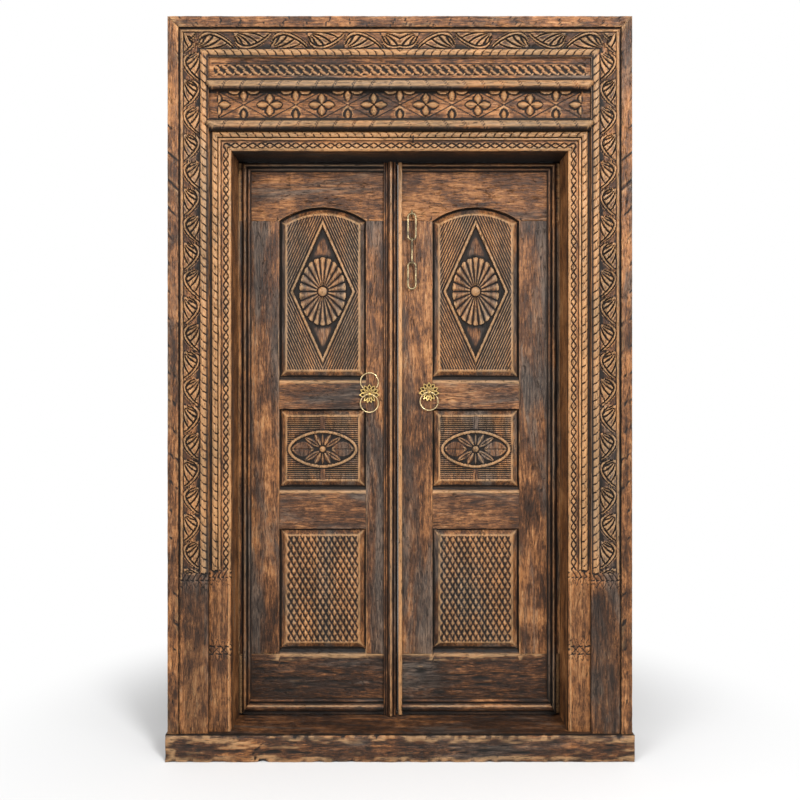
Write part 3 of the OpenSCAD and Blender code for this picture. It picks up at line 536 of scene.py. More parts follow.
for side, word in ((-1, "left"), (1, "right")):
    seed = 20 + side

    def boardTicks(x, z):
        return tickRelief(z, x, 78, 0.8) * (z < zTop - 60)

    carve(word + "_carved_board", [word + "_side_board"],
          fourSided((xBoard, zFloor), (xOut, zFloor), (xOut, zTop), (xBoard, zBoard)),
          yBoard, yBack, boardTicks, darkUp, step=(4.4, 6.5), edge=3.0, side=side, seed=seed)

    def outer(x, z):
        d = xBoard - x
        return outerRelief(d, zBoard - z - frameLooks["fillet"] + 20, z, 78.0, zBoard - z)

    carve(word + "_carved_jamb", [word + "_outer_jamb"],
          fourSided((xOuter, zFloor), (xBoard, zFloor), (xBoard, zBoard), (xOuter, zOuter)),
          yBoard + frameLooks["outerSet"], yBack, outer, darkUp, step=(2.8, 3.15), edge=0.8, side=side,
          seed=seed + 5)

    rebate = leafLow[1] - 0.5
    rebateX = leafHigh[0] + 4

    def backBlock(bm):
        low = (min(side * rebateX, side * xOuter), rebate, zFloor)
        addBlock(bm, low, (max(side * rebateX, side * xOuter), yBack, zHead - (xOuter - rebateX)))

    def inner(x, z):
        return innerRelief(xOuter - x, zHead - z, z)

    carve(word + "_inner_carving", [word + "_inner_jamb"],
          fourSided((xOpen, zFloor), (xOuter, zFloor), (xOuter, zHead), (xOpen, zOpen)),
          yBoard + frameLooks["innerSet"], rebate, inner, warmUp, step=(2.6, 3.25), edge=1.6, side=side,
          rings=[(rebate, 0)], seed=seed + 9, extra=backBlock, sidePaintedShade=0.12, deepPaintedShade=0.95)


def topTicks(x, z):
    return tickRelief(x, (z - zBoard) * np.sign(-x), 62, 0.7)


carve("carved_top_board", ["top_board"],
      fourSided((-xBoard, zBoard), (xBoard, zBoard), (xOut, zTop), (-xOut, zTop)),
      yBoard, yBack, topTicks, darkAcross, step=(4.4, 4.4), edge=3.0, seed=31)

headPitch = 106.0


def outerHead(x, z):
    away = np.abs(x)
    return outerRelief(zBoard - z, headPitch * 6.5 - away, None, headPitch, xBoard - away)


carve("carved_head", ["outer_head"],
      fourSided((-xOuter, zOuter), (xOuter, zOuter), (xBoard, zBoard), (-xBoard, zBoard)),
      yBoard + frameLooks["outerSet"], yBack, outerHead, darkAcross, step=2.8, edge=0.8, seed=32)


def innerHead(x, z):
    return innerRelief(zHead - z, xOuter - np.abs(x), None)


carve("inner_head_carving", ["inner_head"],
      fourSided((-xOpen, zOpen), (xOpen, zOpen), (xOuter, zHead), (-xOuter, zHead)),
      yBoard + frameLooks["innerSet"], yBack, innerHead, warmAcross, step=(3.25, 2.6), edge=1.6, seed=33,
      sidePaintedShade=0.4, deepPaintedShade=0.95)

upperLow, upperHigh = box("upper_lintel")
lowerLow, lowerHigh = box("lower_lintel")
lattice = {"fromTop": 34, "pitch": 24.6, "row": 14.5, "deep": 2.8}


def braid(x, z):  # two rows of leaning leaves on a sunk band, each pair crossed like a plait
    high = upperHigh[2] - lattice["fromTop"]
    pitch, row = lattice["pitch"], lattice["row"]
    h = np.full_like(x, -lattice["deep"])
    for up in (1, -1):
        v = z - high - up * row / 2
        for shift in (-1, 0, 1):
            u = (x + (0.5 * pitch if up < 0 else 0)) % pitch - pitch / 2 + shift * pitch
            a, b = turned(u, v, -34)
            h = np.maximum(h, -lattice["deep"] + petal(a + 13, b, 26, 13.5, 4.4, 0.8))
            a, b = turned(u - pitch / 2, v - up * row * 0.42, 42)
            h = np.maximum(h, -lattice["deep"] + petal(a + 6.5, b, 13, 8.5, 3.4))
    inside = (np.abs(x) < xOuter - 13) & (np.abs(z - high) < row + 1.5)
    border = cut(np.abs(z - high) - row - 4.5, 2.4, 1.2) * (np.abs(x) < xOuter - 10)
    h = np.where(inside, h, -0.3) + border
    pale = np.clip(1 - np.abs(z - upperLow[2] - 38) / 9, 0, 1)
    leaves = 0.16 * (inside & (h > -1.6))
    return h, 0.35 * pale + leaves - 0.12 * (z > high + row + 6)


carve("braided_lintel", ["upper_lintel"], rectangle(upperLow[0], upperHigh[0], upperLow[2], upperHigh[2]),
      upperLow[1], upperHigh[1], braid, darkAcross, step=2.55, edge=0.6, seed=34)

flowers = {"pitch": 150.0, "high": 86.0, "petal": 30, "lobe": 12}


def flowerBand(x, z):  # crossed lozenge lines, four-petalled flowers and drops on the lower lintel
    half = flowers["high"] / 2
    mid = lowerHigh[2] - 4 - half
    v = z - mid
    u = (x + flowers["pitch"] / 2) % flowers["pitch"] - flowers["pitch"] / 2  # 0 at a crossing
    w = x % flowers["pitch"] - flowers["pitch"] / 2  # 0 at a flower
    line = np.abs(v) - (half - 4) * np.abs(u) / (flowers["pitch"] / 2)
    h = cut(line, 4.5, 1.6) - 1.4
    field = np.where(line < 0, -1.2, -0.2 - 1.6 * np.clip(np.abs(u) / 30, 0, 1))
    h = h + field
    for angle in (0, 90, 180, 270):
        a, b = turned(w, v, angle)
        wide, long = (25, flowers["petal"] + 5) if angle % 180 == 0 else (26, flowers["petal"])
        around = petal(a - 1, b, long + 2, wide + 5, 1.0) > 0
        h = np.where(around, np.minimum(h, -4.6), h)
        h = np.maximum(h, -4.6 + petal(a - 2, b, long, wide, 8.2, 0.85))
    for top in (1, -1):
        a = top * v + half - 2 - 2 * half + 2
        drop = petal(-a, u, 34 if top > 0 else 27, 24 if top > 0 else 17, 7.6, 0.85)
        h = np.where(petal(-a + 1, u, 35, 27, 1.0) > 0, np.minimum(h, -4.4), h)
        h = np.maximum(h, -4.4 + drop)
    for off in (-27, 27):
        lobe = np.hypot((u - off) / 1.5, v - half + 1) - flowers["lobe"]
        h = np.where(np.abs(lobe - 1.5) < 1.8, np.minimum(h, -5.0), h)
        h = np.where(lobe < 0, np.maximum(h, -0.4 + lobe * 0.04), h)
    edge = np.abs(x) - (3 * flowers["pitch"] + 72)
    h = np.where(edge > 0, -2.0, h) + cut(edge, 3, 2)
    return np.where(np.abs(v) > half, -0.3, h), np.where(h > -2.6, 0.26, 0.05) - 0.3 * (edge > 0)


carve("flowered_lintel", ["lower_lintel"], rectangle(lowerLow[0], lowerHigh[0], lowerLow[2], lowerHigh[2]),
      lowerLow[1], lowerHigh[1], flowerBand, warmAcross, step=2.55, edge=0.6, seed=35)

torus = {"radius": 13, "out": 25, "ticks": 53, "mitre": 22}
for name in ("upper_lintel_moulding", "lower_lintel_moulding"):
    low, high = box(name)

    def roll(x, z):
        up = z - low[2]
        h = np.where(up < 2 * torus["radius"] - 1, torus["out"] - torus["radius"] + bead(up - torus["radius"],
                     2 * torus["radius"], torus["radius"]), 0)
        h = np.maximum(h, (5 + 10 * np.clip((36 - up) / 11, 0, 1) ** 1.5) * (up > 13))
        tick = tickRelief(x, (up - 13) * np.sign(-x), torus["ticks"], 0.6, gap=5.5, depth=2.8, width=3.4)
        end = np.clip((high[0] - np.abs(x) - (torus["mitre"] * np.clip((30 - up) / 30, 0, 1))) / 7, 0, 1)
        h = (h + tick * (up < 27)) * (0.25 + 0.75 * np.sqrt(end))
        # painted shade on the underside of the roll
        return h, -0.1 - 0.6 * np.clip((9 - up) / 9, 0, 1)

    carve(name.replace("moulding", "roll"), [name], rectangle(low[0], high[0], low[2], high[2]),
          high[1], high[1] + 6, roll, rollWood, step=(3.4, 2.2), edge=0.3, rings=[(high[1] + 1, 0)],
          seed=36 + len(name), shade=0.5)


def sillFace(x, z):  # worn face with a swelling at the knot, a split and a notch in its lower edge
    knot = np.exp(-(((x + 455) / 70) ** 2 + ((z - 46) / 24) ** 2)) * 4
    notch = np.exp(-(((x + 392) / 12) ** 2)) * np.exp(-((z / 9) ** 2)) * 9
    line = x + 400 + 16 * np.sin(z / 15) + 7 * (drift(x, z, (9, 9), 4) - 0.5)
    split = cut(line, 4, 3.2) * np.clip((66 - z) / 20, 0, 1)
    waves = 2.2 * (drift(x, z, (150, 15), 5) - 0.5) + 1.8 * (drift(x, z, (30, 7), 6) - 0.5)
    patches = np.exp(-(((x + 552) / 46) ** 2 + ((z - 62) / 12) ** 2)) + np.exp(-(((x + 448) / 42) ** 2 +
                                                                                  ((z - 58) / 15) ** 2))
    worn = patches * (drift(x, z, (14, 8), 11) > 0.35) * 0.55
    return -5.5 + knot - notch + waves + split, worn + 0.3 * (drift(x, z, (60, 22), 8) - 0.6)


carve("worn_sill", ["threshold"], rectangle(sillLow[0], sillHigh[0], 0, sillHigh[2]),
      sillLow[1], sillHigh[1], sillFace, sillWood, step=(5.5, 3.4), edge=6.0, seed=37, sidePaintedShade=0.12)
print("frame carved", len(finished))

leafLooks = {"archRise": 41, "bevel": 21, "fieldSet": 4, "grooveSet": 16}
for side, word in ((-1, "left"), (1, "right")):
    def node(part):
        return word + "_" + part

    def span(part):  # a node's box, drawn as on the right leaf
        low, high = box(node(part))
        if side < 0:
            low[0], high[0] = -high[0], -low[0]
        return low, high

    seed = 60 + 10 * side
    hingeLow, hingeHigh = span("hinge_stile")
    meetLow, meetHigh = span("meeting_stile")
    topRailLow, topRailHigh = span("top_rail")
    upperRailLow, upperRailHigh = span("upper_rail")
    lowerRailLow, lowerRailHigh = span("lower_rail")
    footLow, footHigh = span("bottom_rail")
    stripLow, stripHigh = span("hinge_strip")
    footStripLow, footStripHigh = span("foot_strip")
    topStripLow, topStripHigh = span("top_strip")
    meetStripLow, meetStripHigh = span("meeting_strip")
    yLeaf, yLeafBack = hingeLow[1], hingeHigh[1]
    heel = (yLeafBack - yLeaf) / 2
    xHeel, yHeel = hingeHigh[0] - heel, yLeaf + heel
    near, far = meetHigh[0], hingeLow[0]
    mid, wide = (near + far) / 2, far - near
    tenon = 45
    zShoulder = topRailLow[2]
    rise = leafLooks["archRise"]
    archR = (wide * wide / 4 + rise * rise) / (2 * rise)
    archZ = zShoulder + rise - archR

    def flat(x, z):  # worn face; the hinge edge turns round its heel
        past = np.clip(x - xHeel, 0, heel)
        return -(heel - np.sqrt(heel * heel - past * past)) * (x > xHeel)

    def stile(x, z, edge=far, way=1):  # a rubbed bead runs up beside the panels
        d = way * (x - edge)
        h = flat(x, z) + cut(d - 8.5, 2.4, 1.5) * (d > 0)
        tint = np.where((d > 1) & (d < 6.5), 0.45 * drift(z, x, (110, 40), seed + 9), 0)
        # painted shade on the face between the hinge strip and the jamb
        return h, tint - 1.2 * (x > stripLow[0] + 26)

    def heelTurn(v):  # keeps the hinge edge on its round heel behind the pivot's middle
        past = min(1.0, max(0.0, (v.co.y * 1000 - yHeel) / heel))
        if abs(v.co.x) * 1000 > xHeel + 0.001:
            v.co.x = side * (xHeel + heel * math.sqrt(max(0.0, 1 - past * past))) / 1000

    heelRings = [(yHeel + heel * math.sin(math.radians(a)), heelTurn)
                 for a in (0, 15, 30, 45, 60, 75, 85, 90)]
    plainRings = [(yLeafBack - 1, 0), (yLeafBack, 1)]
    carve(node("stile_by_hinge"), [node("hinge_stile")],
          rectangle(far, hingeHigh[0], footLow[2] + (footHigh[2] - footLow[2]) - 13, zShoulder),
          yLeaf, yLeafBack, stile, leafUp, step=(2.8, 15), edge=2.0, side=side, rings=heelRings,
          seed=seed + 1)
    edgeAt = meetLow[0] if side > 0 else span("cover_bead")[0][0] - 1

    def lip(z0, z1):  # closes the gap behind the left leaf's meeting edge
        ends = sorted((side * meetLow[0], side * (edgeAt + 1)))
        return lambda bm: addBlock(bm, (ends[0], yHeel + 2, z0),
                                   (ends[1], yLeafBack, z1)) if side < 0 else None

    carve(node("stile_by_meeting"), [node("meeting_stile")],
          rectangle(edgeAt, near, footHigh[2] - 13, zShoulder),
          yLeaf, yLeafBack, lambda x, z: stile(x, z, near, -1), leafUp, step=(2.8, 15), edge=2.0, side=side,
          rings=plainRings, seed=seed + 2, extra=lip(footHigh[2] - 13, zShoulder))
    for part, low, high in (("upper_rail", upperRailLow, upperRailHigh),
                            ("lower_rail", lowerRailLow, lowerRailHigh)):
        def rail(x, z, top=high[2], foot=low[2]):
            h = -8 * np.clip(1 - (top - z) / 12, 0, 1)
            # painted highlight on the top slope; darker along the lower edge
            tint = 0.75 * (z > top - 13) - 0.3 * (z < foot + 4)
            return h + 0.5 * (drift(x, z, (50, 6), seed) - 0.5), tint

        carve(node(part + "_board"), [node(part)], rectangle(near, far, low[2], high[2]),
              yLeaf, yLeafBack, rail, leafAcross, step=(4.4, 3.0), edge=1.2, side=side, rings=plainRings,
              seed=seed + 3 + len(part))

    def archShape(s, t):
        x = edgeAt + (hingeHigh[0] - edgeAt) * s
        under = np.sqrt(np.maximum(archR ** 2 - (x - mid) ** 2, 0)) + archZ
        low = np.where(np.abs(x - mid) < wide / 2, np.maximum(under, zShoulder), zShoulder)
        return x, low + (topRailHigh[2] - low) * t

    def archBead(x, z):  # two fine lines that follow the arch
        ring = np.hypot(x - mid, z - archZ) - archR
        lines = np.minimum(cut(ring - 5.5, 3.4, 2.4), cut(ring - 11.5, 3.4, 2.0))
        near = (np.abs(x - mid) < wide / 2 + 10) & (z > zShoulder + 1)
        h = flat(x, z) + lines * near
        # painted shade on the face between the hinge strip and the jamb; the band inside the arch lines is
        # lighter
        return h, np.where(near & (ring > 0) & (ring < 10), 0.25, 0) - 1.2 * (x > stripLow[0] + 26)

    carve(node("arched_rail"), [node("top_rail")], archShape, yLeaf, yLeafBack, archBead, archWood,
          step=(3.7, 4.7), edge=1.8, side=side, rings=heelRings, seed=seed + 5,
          extra=lip(zShoulder, topRailHigh[2]))

    def footShape(s, t):
        x = edgeAt + (hingeHigh[0] - edgeAt) * s
        top = np.where((x > near - 0.5) & (x < far + 0.5), footHigh[2], footHigh[2] - 13)
        return x, footLow[2] + (top - footLow[2]) * t

    def footFace(x, z):
        weather = 1.3 * (drift(x, z, (60, 9), seed) - 0.5) + 0.8 * (drift(x, z, (22, 5), seed + 1) - 0.5)
        opened = (x > near) & (x < far)
        slope = -8 * np.clip(1 - (footHigh[2] - z) / 12, 0, 1) * opened
        sloped = (z > footHigh[2] - 13) & opened
        # painted highlight on the top slope and top edge, painted shade on the face between the hinge strip
        # and the jamb
        tint = 0.75 * sloped + 0.5 * (~opened & (z > footHigh[2] - 17)) - 1.2 * (x > stripLow[0] + 26)
        return flat(x, z) + slope + weather * ~sloped - 0.8, tint

    carve(node("foot_rail"), [node("bottom_rail")], footShape, yLeaf, yLeafBack, footFace, footAcross,
          step=(5.4, 3.7), edge=1.8, side=side, rings=heelRings, seed=seed + 6,
          extra=lip(footLow[2], footHigh[2] - 13))

    # panels
    def raisedField(x, z, z0, z1, arched):
        d = np.minimum(np.minimum(x - near, far - x), np.minimum(z - z0, z1 - z))
        if arched:
            d = np.where(z > archZ, np.minimum(d, archR - np.hypot(x - mid, z - archZ)), d)
        bevel, sunk, high = leafLooks["bevel"], leafLooks["grooveSet"], leafLooks["fieldSet"]
        ramp = np.clip((d - 1) / (bevel - 1), 0, 1)
        # painted light on the bevels: lighter on the right, painted shade on the left and at the bottom,
        # darkest beside the outer groove
        shade = np.where(side * (x - mid) < 0, 0.35, 0.05) + 0.15 * (z < z0 + bevel)
        bevelPaintedLight = np.where(d < bevel, 0.25 - shade * (0.8 - ramp * 0.5) - 0.7 * np.clip(1 - d / 4, 0, 1), 0)
        return -sunk + (sunk - high) * ramp, d - bevel, bevelPaintedLight

    def hatch(phase, pitch, depth):
        return -depth * (0.5 + 0.5 * np.cos(2 * np.pi * phase / pitch))

    zA, zB = upperRailHigh[2], zShoulder + rise
    diamond = {"w": 98, "h": 218, "z": (zA + zB) / 2 + 3, "band": 8.5, "rx": 71, "rz": 104, "flutes": 22,
               "hub": 16}

    def topCarving(x, z):
        base, d, tint = raisedField(x, z, zA, zB + 60, True)
        u, v = x - mid, z - diamond["z"]
        norm = math.hypot(1 / diamond["w"], 1 / diamond["h"])
        away = (np.abs(u) / diamond["w"] + np.abs(v) / diamond["h"] - 1) / norm  # mm outside the diamond
        lines = hatch(away - 3, 7.2, 2.6)
        h = lines * step(d - 2, 2) * step(away - 0.5, 1) - 0.4
        band = (away < 0) & (away > -diamond["band"])
        h = np.where(band, bead(away + diamond["band"] / 2, diamond["band"], 2.2) + 0.4, h)
        inside = away < -diamond["band"]
        angle = np.arctan2(v / diamond["rz"], u / diamond["rx"])
        reach = np.hypot(u / diamond["rx"], v / diamond["rz"])
        flute = np.abs(np.sin(angle * diamond["flutes"] / 2)) ** 0.5
        rosette = -5.5 + (3.2 + 3.4 * np.clip(reach, 0, 1)) * flute
        rosette = np.where(reach < 1 - 0.06 * (1 - flute), rosette, -5.5)
        hub = np.hypot(u, v)
        rosette = np.where(hub < diamond["hub"] + 2, -5.0, rosette)
        rosette = np.maximum(rosette, -5.0 + bead(hub, 2 * diamond["hub"], 7.5) * (hub < diamond["hub"]))
        h = np.where(inside, np.minimum(rosette, 3.0), h)
        h = np.where(np.abs(away + diamond["band"]) < 0.9, np.minimum(h, -3.0), h)
        return base + np.where(d > 0, h, 0), tint

    carve(node("rosette_panel"), [node("top_panel")], rectangle(near - 8, far + 8, zA - 8, zB + 8),
          yLeaf, yLeaf + leafLooks["grooveSet"] + 8, topCarving, leafUp, step=2.25, edge=0, side=side,
          rings=[(yLeaf + leafLooks["grooveSet"] + 8, 0)], seed=seed + 7)

    zC, zD = lowerRailHigh[2], upperRailLow[2]
    petals = ((0, 26, 72, 52, 1), (33, 11, 56, 22, 0.6), (62, 11, 44, 20, 0), (90, 12, 34, 15, 0))

    def middleCarving(x, z):
        base, d, tint = raisedField(x, z, zC, zD, False)
        u, v = x - mid, z - (zC + zD) / 2 + 3
        rx, rz = wide / 2 - 25, 57
        reach = np.abs(u / rx) ** 1.75 + np.abs(v / rz) ** 1.85
        slope = np.hypot(1.75 * np.abs(u / rx) ** 0.75 / rx, 1.85 * np.abs(v / rz) ** 0.85 / rz)
        oval = (reach - 1) / np.maximum(slope, 1e-3)
        h = hatch(v, 5.9, 2.4) * step(d - 2, 2) * step(oval - 1, 1) * step(np.abs(u) - 6, 2) - 0.4
        h = np.where((oval < 0) & (oval > -9), bead(oval + 4.5, 9, 2.8) + 0.4, h)
        deep = np.full_like(h, -5.2)
        for turn, start, length, width, dish in petals:
            for flipX in (1, -1):
                for flipZ in ((1,) if turn == 0 else (1, -1)):
                    a, b = turned(u * flipX, v * flipZ, turn)
                    leaf = -5.2 + petal(a - start, b, length, width, 5.4)
                    leaf = leaf - dish * petal(a - start - 8, b, length - 18, width - 13, 2.8)
                    leaf = leaf + cut(b, 3.0, 2.6) * (dish > 0) * (leaf > -3)
                    seam = np.abs(leaf - deep) < 1.1
                    deep = np.where(seam & (leaf > -4.2), np.maximum(leaf, deep) - 1.6,
                                    np.maximum(deep, leaf))
        hub = np.hypot(u, v)
        deep = np.where(hub < 13, -4.2, deep)
        deep = np.maximum(deep, -3.8 + bead(hub, 20, 7.6) * (hub < 10))
        h = np.where(oval < -9, deep, h)
        return base + np.where(d > 0, h, 0), tint

    carve(node("oval_panel"), [node("middle_panel")], rectangle(near - 8, far + 8, zC - 8, zD + 8),
          yLeaf, yLeaf + leafLooks["grooveSet"] + 8, middleCarving, leafUp, step=2.05, edge=0, side=side,
          rings=[(yLeaf + leafLooks["grooveSet"] + 8, 0)], seed=seed + 8)

    zE, zF = footHigh[2], lowerRailLow[2]

    def latticeCarving(x, z):  # small pyramids, with painted highlight on their upper right edges and painted shade on their lower left edges
        base, d, tint = raisedField(x, z, zE, zF, False)
        u, v = side * (x - mid) / 17.6, (z - zE) / 31.5
        one, two = (u + v) % 1, (u - v) % 1
        bars = np.minimum(np.minimum(one, 1 - one), np.minimum(two, 1 - two)) * 2
        h = -3.2 + 4.4 * np.clip(bars * 1.25, 0, 1) + 1.0 * one
        # painted highlight on the upper right edges, painted shade on the lower left
        rub = np.where((one > 0.62) & (one < 0.93), 0.6, 0) - 0.35 * (one < 0.2)
        inner = step(d - 1, 2)
        return base + h * inner, tint + rub * inner

    carve(node("lattice_panel"), [node("bottom_panel")], rectangle(near - 8, far + 8, zE - 8, zF + 8),
          yLeaf, yLeaf + leafLooks["grooveSet"] + 8, latticeCarving, leafUp, step=2.75, edge=0, side=side,
          rings=[(yLeaf + leafLooks["grooveSet"] + 8, 0)], seed=seed + 9, shade=0.6)

    # strips
    def reeds(d):
        h = 6 + bead(d - 7.5, 12.4, 6) + bead(d - 20.5, 10.2, 4)
        # painted highlight along each reed's crest
        crest = np.exp(-((d - 9) / 2.2) ** 2) + 0.8 * np.exp(-((d - 21.5) / 1.6) ** 2)
        return h + cut(d - 14.4, 2.5, 1.5), 1.5 * crest - 0.55

    carve(node("reeded_edge"), [node("hinge_strip")],
          fourSided((stripLow[0], footStripHigh[2]), (stripHigh[0], stripLow[2]),
                    (stripHigh[0], stripHigh[2]),
                    (stripLow[0], stripHigh[2] - 27)),
          yLeaf, yLeaf + 0.5, lambda x, z: reeds(stripHigh[0] - x), mouldUp, step=(1.7, 18), edge=0.8,
          side=side,
          rings=[(yLeaf + 1.0, 0)], seed=seed + 11, shade=0.12)
    carve(node("reeded_top"), [node("top_strip")],
          fourSided((topStripLow[0], topStripLow[2]), (stripHigh[0] - 27, topStripLow[2]),
                    (topStripHigh[0], topStripHigh[2]), (topStripLow[0], topStripHigh[2])),
          yLeaf, yLeaf + 0.5, lambda x, z: reeds(topStripHigh[2] - z), mouldAcross, step=(9, 1.7), edge=0.8,
          side=side, rings=[(yLeaf + 1.0, 0)], seed=seed + 12, shade=0.12)

    def plinth(x, z):
        up = z - footStripLow[2]
        h = np.where(up < 9, 8, 6) + bead(up - 22, 24, 12) * (np.abs(up - 22) < 12) + bead(up - 41, 9, 3.5)
        # painted highlight along the roll's crest; darker towards the ends
        crest = np.exp(-((up - 28) / 3.5) ** 2) + 0.4 * np.exp(-((up - 43) / 2) ** 2)
        fade = np.minimum(x - footStripLow[0], footStripHigh[0] - x) < 12
        return h + cut(up - 35, 3, 1.5), 1.5 * crest - 0.5 - 0.6 * fade

    carve(node("foot_roll"), [node("foot_strip")],
          fourSided((footStripLow[0], footStripLow[2]), (footStripHigh[0], footStripLow[2]),
                    (stripHigh[0] - 27, footStripHigh[2]), (footStripLow[0], footStripHigh[2])),
          yLeaf, yLeaf + 0.5, plinth, mouldAcross, step=(9, 1.7), edge=1.0, side=side,
          rings=[(yLeaf + 1.0, 0)],
          seed=seed + 13, shade=0.12)
    def meetingReeds(x, z):  # one round reed on the right leaf, a narrow pair on the left, with painted highlights on their crests
        d = x - (meetStripLow[0] + meetStripHigh[0]) / 2
        if side > 0:
            return 8.6 + bead(d, 12.5, 3.2), 0.9 - 1.4 * (np.abs(d) > 5.6)
        return 8.2 + bead(np.abs(d) - 3, 5.6, 2.4), -0.5 + 0.5 * np.exp(-((np.abs(d) - 3.4) / 1.2) ** 2)

    carve(node("meeting_bead"), [node("meeting_strip")],
          rectangle(meetStripLow[0], meetStripHigh[0], meetStripLow[2], meetStripHigh[2]),
          yLeaf, yLeaf + 0.5, meetingReeds, meetWood if side > 0 else mouldUp, step=(1.2, 9),
          edge=0.8, side=side, rings=[(yLeaf + 1.0, 0)], seed=seed + 14, shade=0.12)
    if side < 0:
        coverLow, coverHigh = span("cover_bead")

        def cover(x, z):
            d = coverHigh[0] - x
            h = 12 + bead(d - 9, 16, 10) * (np.abs(d - 9) < 8) + bead(d - 21, 6, 3) * (np.abs(d - 21) < 3)
            # painted highlight along the crests of the roll and the reed
            crest = 0.85 * np.exp(-((d - 10) / 2.6) ** 2) + 0.4 * np.exp(-((d - 21) / 1.5) ** 2)
            return h + cut(d - 17.5, 2, 1.5), 2.6 * crest - 0.5

        carve(node("cover_roll"), [node("cover_bead")],
              rectangle(coverLow[0], coverHigh[0], coverLow[2], coverHigh[2]),
              yLeaf, yLeaf + 0.5, cover, mouldUp, step=(1.3, 9), edge=1.0, side=side,
              rings=[(yLeaf + 1.0, 0)],
              seed=seed + 15, shade=0.12)
print("leaves carved", len(finished))

lotus = {"hub": 6.5, "petal": 31, "wide": 15.5, "lower": 27, "lowerWide": 11, "rim": 2.4, "thick": 2.6,
         "plate": 0.8,
         "rise": 3.6}


# One petal: a pointed leaf with a raised rim round a dark sunk middle, cupped towards its tip
def addPetal(bm, centre, degrees, start, end, width, lift):
    made = bmesh.ops.create_circle(bm, segments=22, radius=1, cap_ends=True)
    verts = made["verts"]
    length = end - start
    for v in verts:
        t = (v.co.x + 1) / 2
        half = width / 2 * math.sin(math.pi * min(1, t ** 0.75)) ** 0.9
        v.co.y = math.copysign(half, v.co.y) if 0.001 < abs(v.co.y) else 0
        v.co.x = start + length * t
    face = [f for f in bm.faces if all(v in verts for v in f.verts)][0]
    bmesh.ops.inset_individual(bm, faces=[face], thickness=lotus["rim"], use_even_offset=True)
    leaf = [face] + [f for f in bm.faces if len(f.verts) == 4 and any(v in verts for v in f.verts)]
    whole = {v for f in leaf for v in f.verts}
    plate = bmesh.ops.extrude_face_region(bm, geom=leaf)["geom"]
    for v in (g for g in plate if isinstance(g, bmesh.types.BMVert)):
        v.co.z = lotus["plate"]
    whole.update(g for g in plate if isinstance(g, bmesh.types.BMVert))
    shade = bm.verts.layers.float["hollow"]
    for f in (g for g in plate if isinstance(g, bmesh.types.BMFace) and len(g.verts) > 4):
        for v in f.verts:
            v[shade] = 1.0
    rim = [g for g in plate if isinstance(g, bmesh.types.BMFace) and len(g.verts) == 4]
    raised = [g for g in bmesh.ops.extrude_face_region(bm, geom=rim)["geom"]
              if isinstance(g, bmesh.types.BMVert)]
    for v in raised:
        v.co.z = lotus["thick"]
        v[shade] = 0.0
    whole.update(raised)
    c, s = math.cos(math.radians(degrees)), math.sin(math.radians(degrees))
    for v in whole:
        r = v.co.x
        cup = lift * max(0, (r - start) / length) ** 1.6
        x, z, out = r * c - v.co.y * s, r * s + v.co.y * c, v.co.z + cup
        v[shade] = max(v[shade], min(0.8, max(0.0, (15 - r) / 9)))
        v.co = ((centre[0] + x) / 1000, (centre[1] - out) / 1000, (centre[2] + z) / 1000)


for side, word in ((-1, "left"), (1, "right")):
    low, high = box(word + "_flower_plate")
    studLow, studHigh = box(word + "_ring_stud")
    hubX, hubZ = (studLow[0] + studHigh[0]) / 2, (studLow[2] + studHigh[2]) / 2
    yFace, yPlate = high[1], low[1] + 2.5
    bm = bmesh.new()
    bm.verts.layers.float.new("hollow")
    for i in range(7):
        addPetal(bm, (hubX, yPlate, hubZ), -5 + i * 190 / 6, 5, lotus["petal"], lotus["wide"], lotus["rise"])
    for angle in (-128, -103, -77, -52):
        addPetal(bm, (hubX, yPlate, hubZ), angle, 5, lotus["lower"], lotus["lowerWide"], lotus["rise"] * 0.6)
    hub = bmesh.ops.create_cone(bm, cap_ends=True, segments=28, radius1=lotus["hub"] / 1000,
                                radius2=lotus["hub"] * 0.86 / 1000, depth=(yFace - low[1]) / 1000)["verts"]
    bmesh.ops.rotate(bm, verts=hub, cent=(0, 0, 0), matrix=Matrix.Rotation(math.radians(90), 3, "X"))
    bmesh.ops.translate(bm, verts=hub, vec=(hubX / 1000, (yFace + low[1]) / 2000, hubZ / 1000))
    bmesh.ops.recalc_face_normals(bm, faces=bm.faces)
    mesh = bpy.data.meshes.new(word + "_lotus")
    bm.to_mesh(mesh)
    bm.free()
    finish(word + "_lotus", [word + "_flower_plate"], mesh, brass, 90 + side, smooth=50)

for name, obj in frame["nodes"].items():
    if "stud" in name:
        look = brass
    elif "ring" in name:
        look = ringBrass
    elif name.startswith("chain"):
        look = agedBrass
    elif "pivot" in name or "staple" in name:
        look = iron
    else:
        continue
    for place in obj.material_slots:
        place.material = look
print("metal made", len(finished))

setting = {
    "paper": 0.69, "paperNear": 0.75, "paperFar": 1.45, "ambient": 0.5,
    "lamps": (("key", (1.9, -4.2, 3.0), 1.2, 245), ("fill", (-3.0, -4.2, 2.4), 2.2, 120),
              ("top", (0.0, -1.9, 4.8), 3.2, 110)),
}


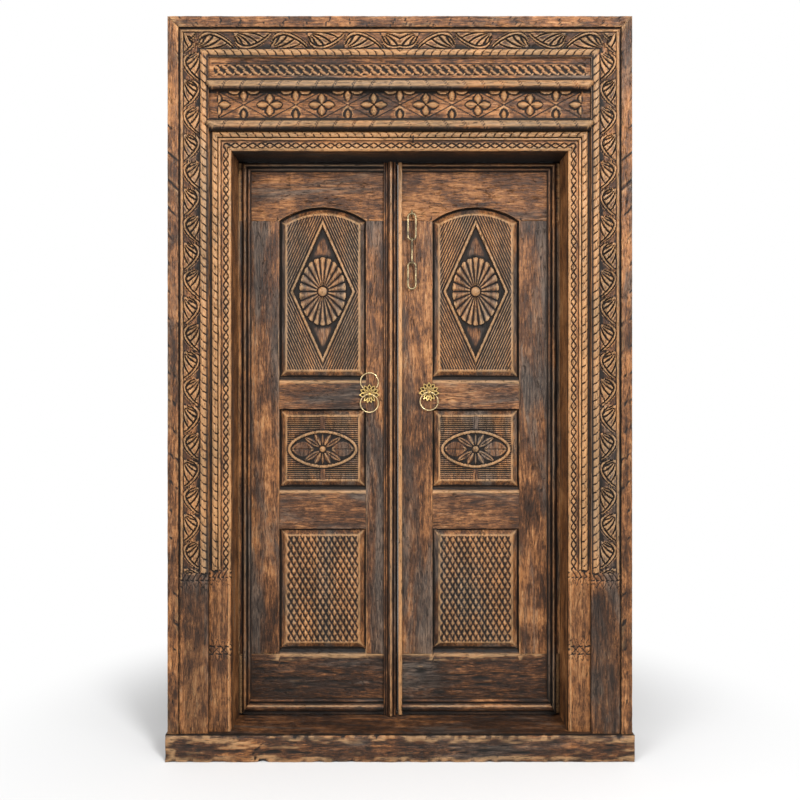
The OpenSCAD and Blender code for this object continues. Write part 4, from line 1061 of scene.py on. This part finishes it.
studio = {"cameraX": -0.037, "cameraZ": 1.090, "away": 2.45, "lens": 38.5, "shiftX": 0.0163,
          "shiftY": -0.0245}
camera = bpy.data.cameras.new("view")
camera.lens, camera.sensor_width = studio["lens"], 36
camera.shift_x, camera.shift_y = studio["shiftX"], studio["shiftY"]
cameraObject = bpy.data.objects.new("view", camera)
cameraObject.location = (studio["cameraX"], yBoard / 1000 - studio["away"], studio["cameraZ"])
cameraObject.rotation_euler = (math.radians(90), 0, 0)
bpy.context.scene.collection.objects.link(cameraObject)
bpy.context.scene.camera = cameraObject

floorMesh = bpy.data.meshes.new("floor")
bm = bmesh.new()
bmesh.ops.create_grid(bm, x_segments=2, y_segments=2, size=30)
bm.to_mesh(floorMesh)
bm.free()
floor = bpy.data.objects.new("floor", floorMesh)
bpy.context.scene.collection.objects.link(floor)
paper = Graph("pale_floor")
spot = paper.add("VectorMath", {"operation": "LENGTH"}, {0: paper.add("TexCoord", None, None, out=3)}, out=1)
away = spot.between(setting["paperNear"], setting["paperFar"])
grey = setting["paper"]
paperShader = paper.add("BsdfPrincipled", None, {
    "Base Color": paper.mix((grey, grey, grey), (0, 0, 0), away), "Roughness": 0.9, "Specular IOR Level": 0.0,
    "Emission Color": paper.mix((0, 0, 0), (1, 1, 1), away), "Emission Strength": 1.0})
paper.add("OutputMaterial", None, {"Surface": paperShader})
floorMesh.materials.append(paper.material)

for name, place, size, power in setting["lamps"]:
    light = bpy.data.lights.new(name, "AREA")
    light.shape, light.size, light.energy = "DISK", size, power
    lamp = bpy.data.objects.new(name, light)
    lamp.location = place
    toward = Vector((0, 0, 1.1)) - Vector(place)
    lamp.rotation_euler = toward.to_track_quat("-Z", "Y").to_euler()
    bpy.context.scene.collection.objects.link(lamp)
world = bpy.data.worlds.new("studio")
world.use_nodes = True
sky = world.node_tree
seen = sky.nodes.new("ShaderNodeLightPath")
level = sky.nodes.new("ShaderNodeMapRange")
level.inputs["To Min"].default_value = setting["ambient"]
level.inputs["To Max"].default_value = 1.0
sky.links.new(seen.outputs["Is Camera Ray"], level.inputs["Value"])
sky.nodes["Background"].inputs[0].default_value = (1, 1, 1, 1)
sky.links.new(level.outputs[0], sky.nodes["Background"].inputs[1])
bpy.context.scene.world = world
bpy.context.scene.view_settings.view_transform = "Standard"

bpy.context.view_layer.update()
tally = {name: sum(len(p.vertices) - 2 for p in piece.data.polygons) for name, piece in finished.items()}
print("triangles", sum(tally.values()), "largest", max(tally.values()))
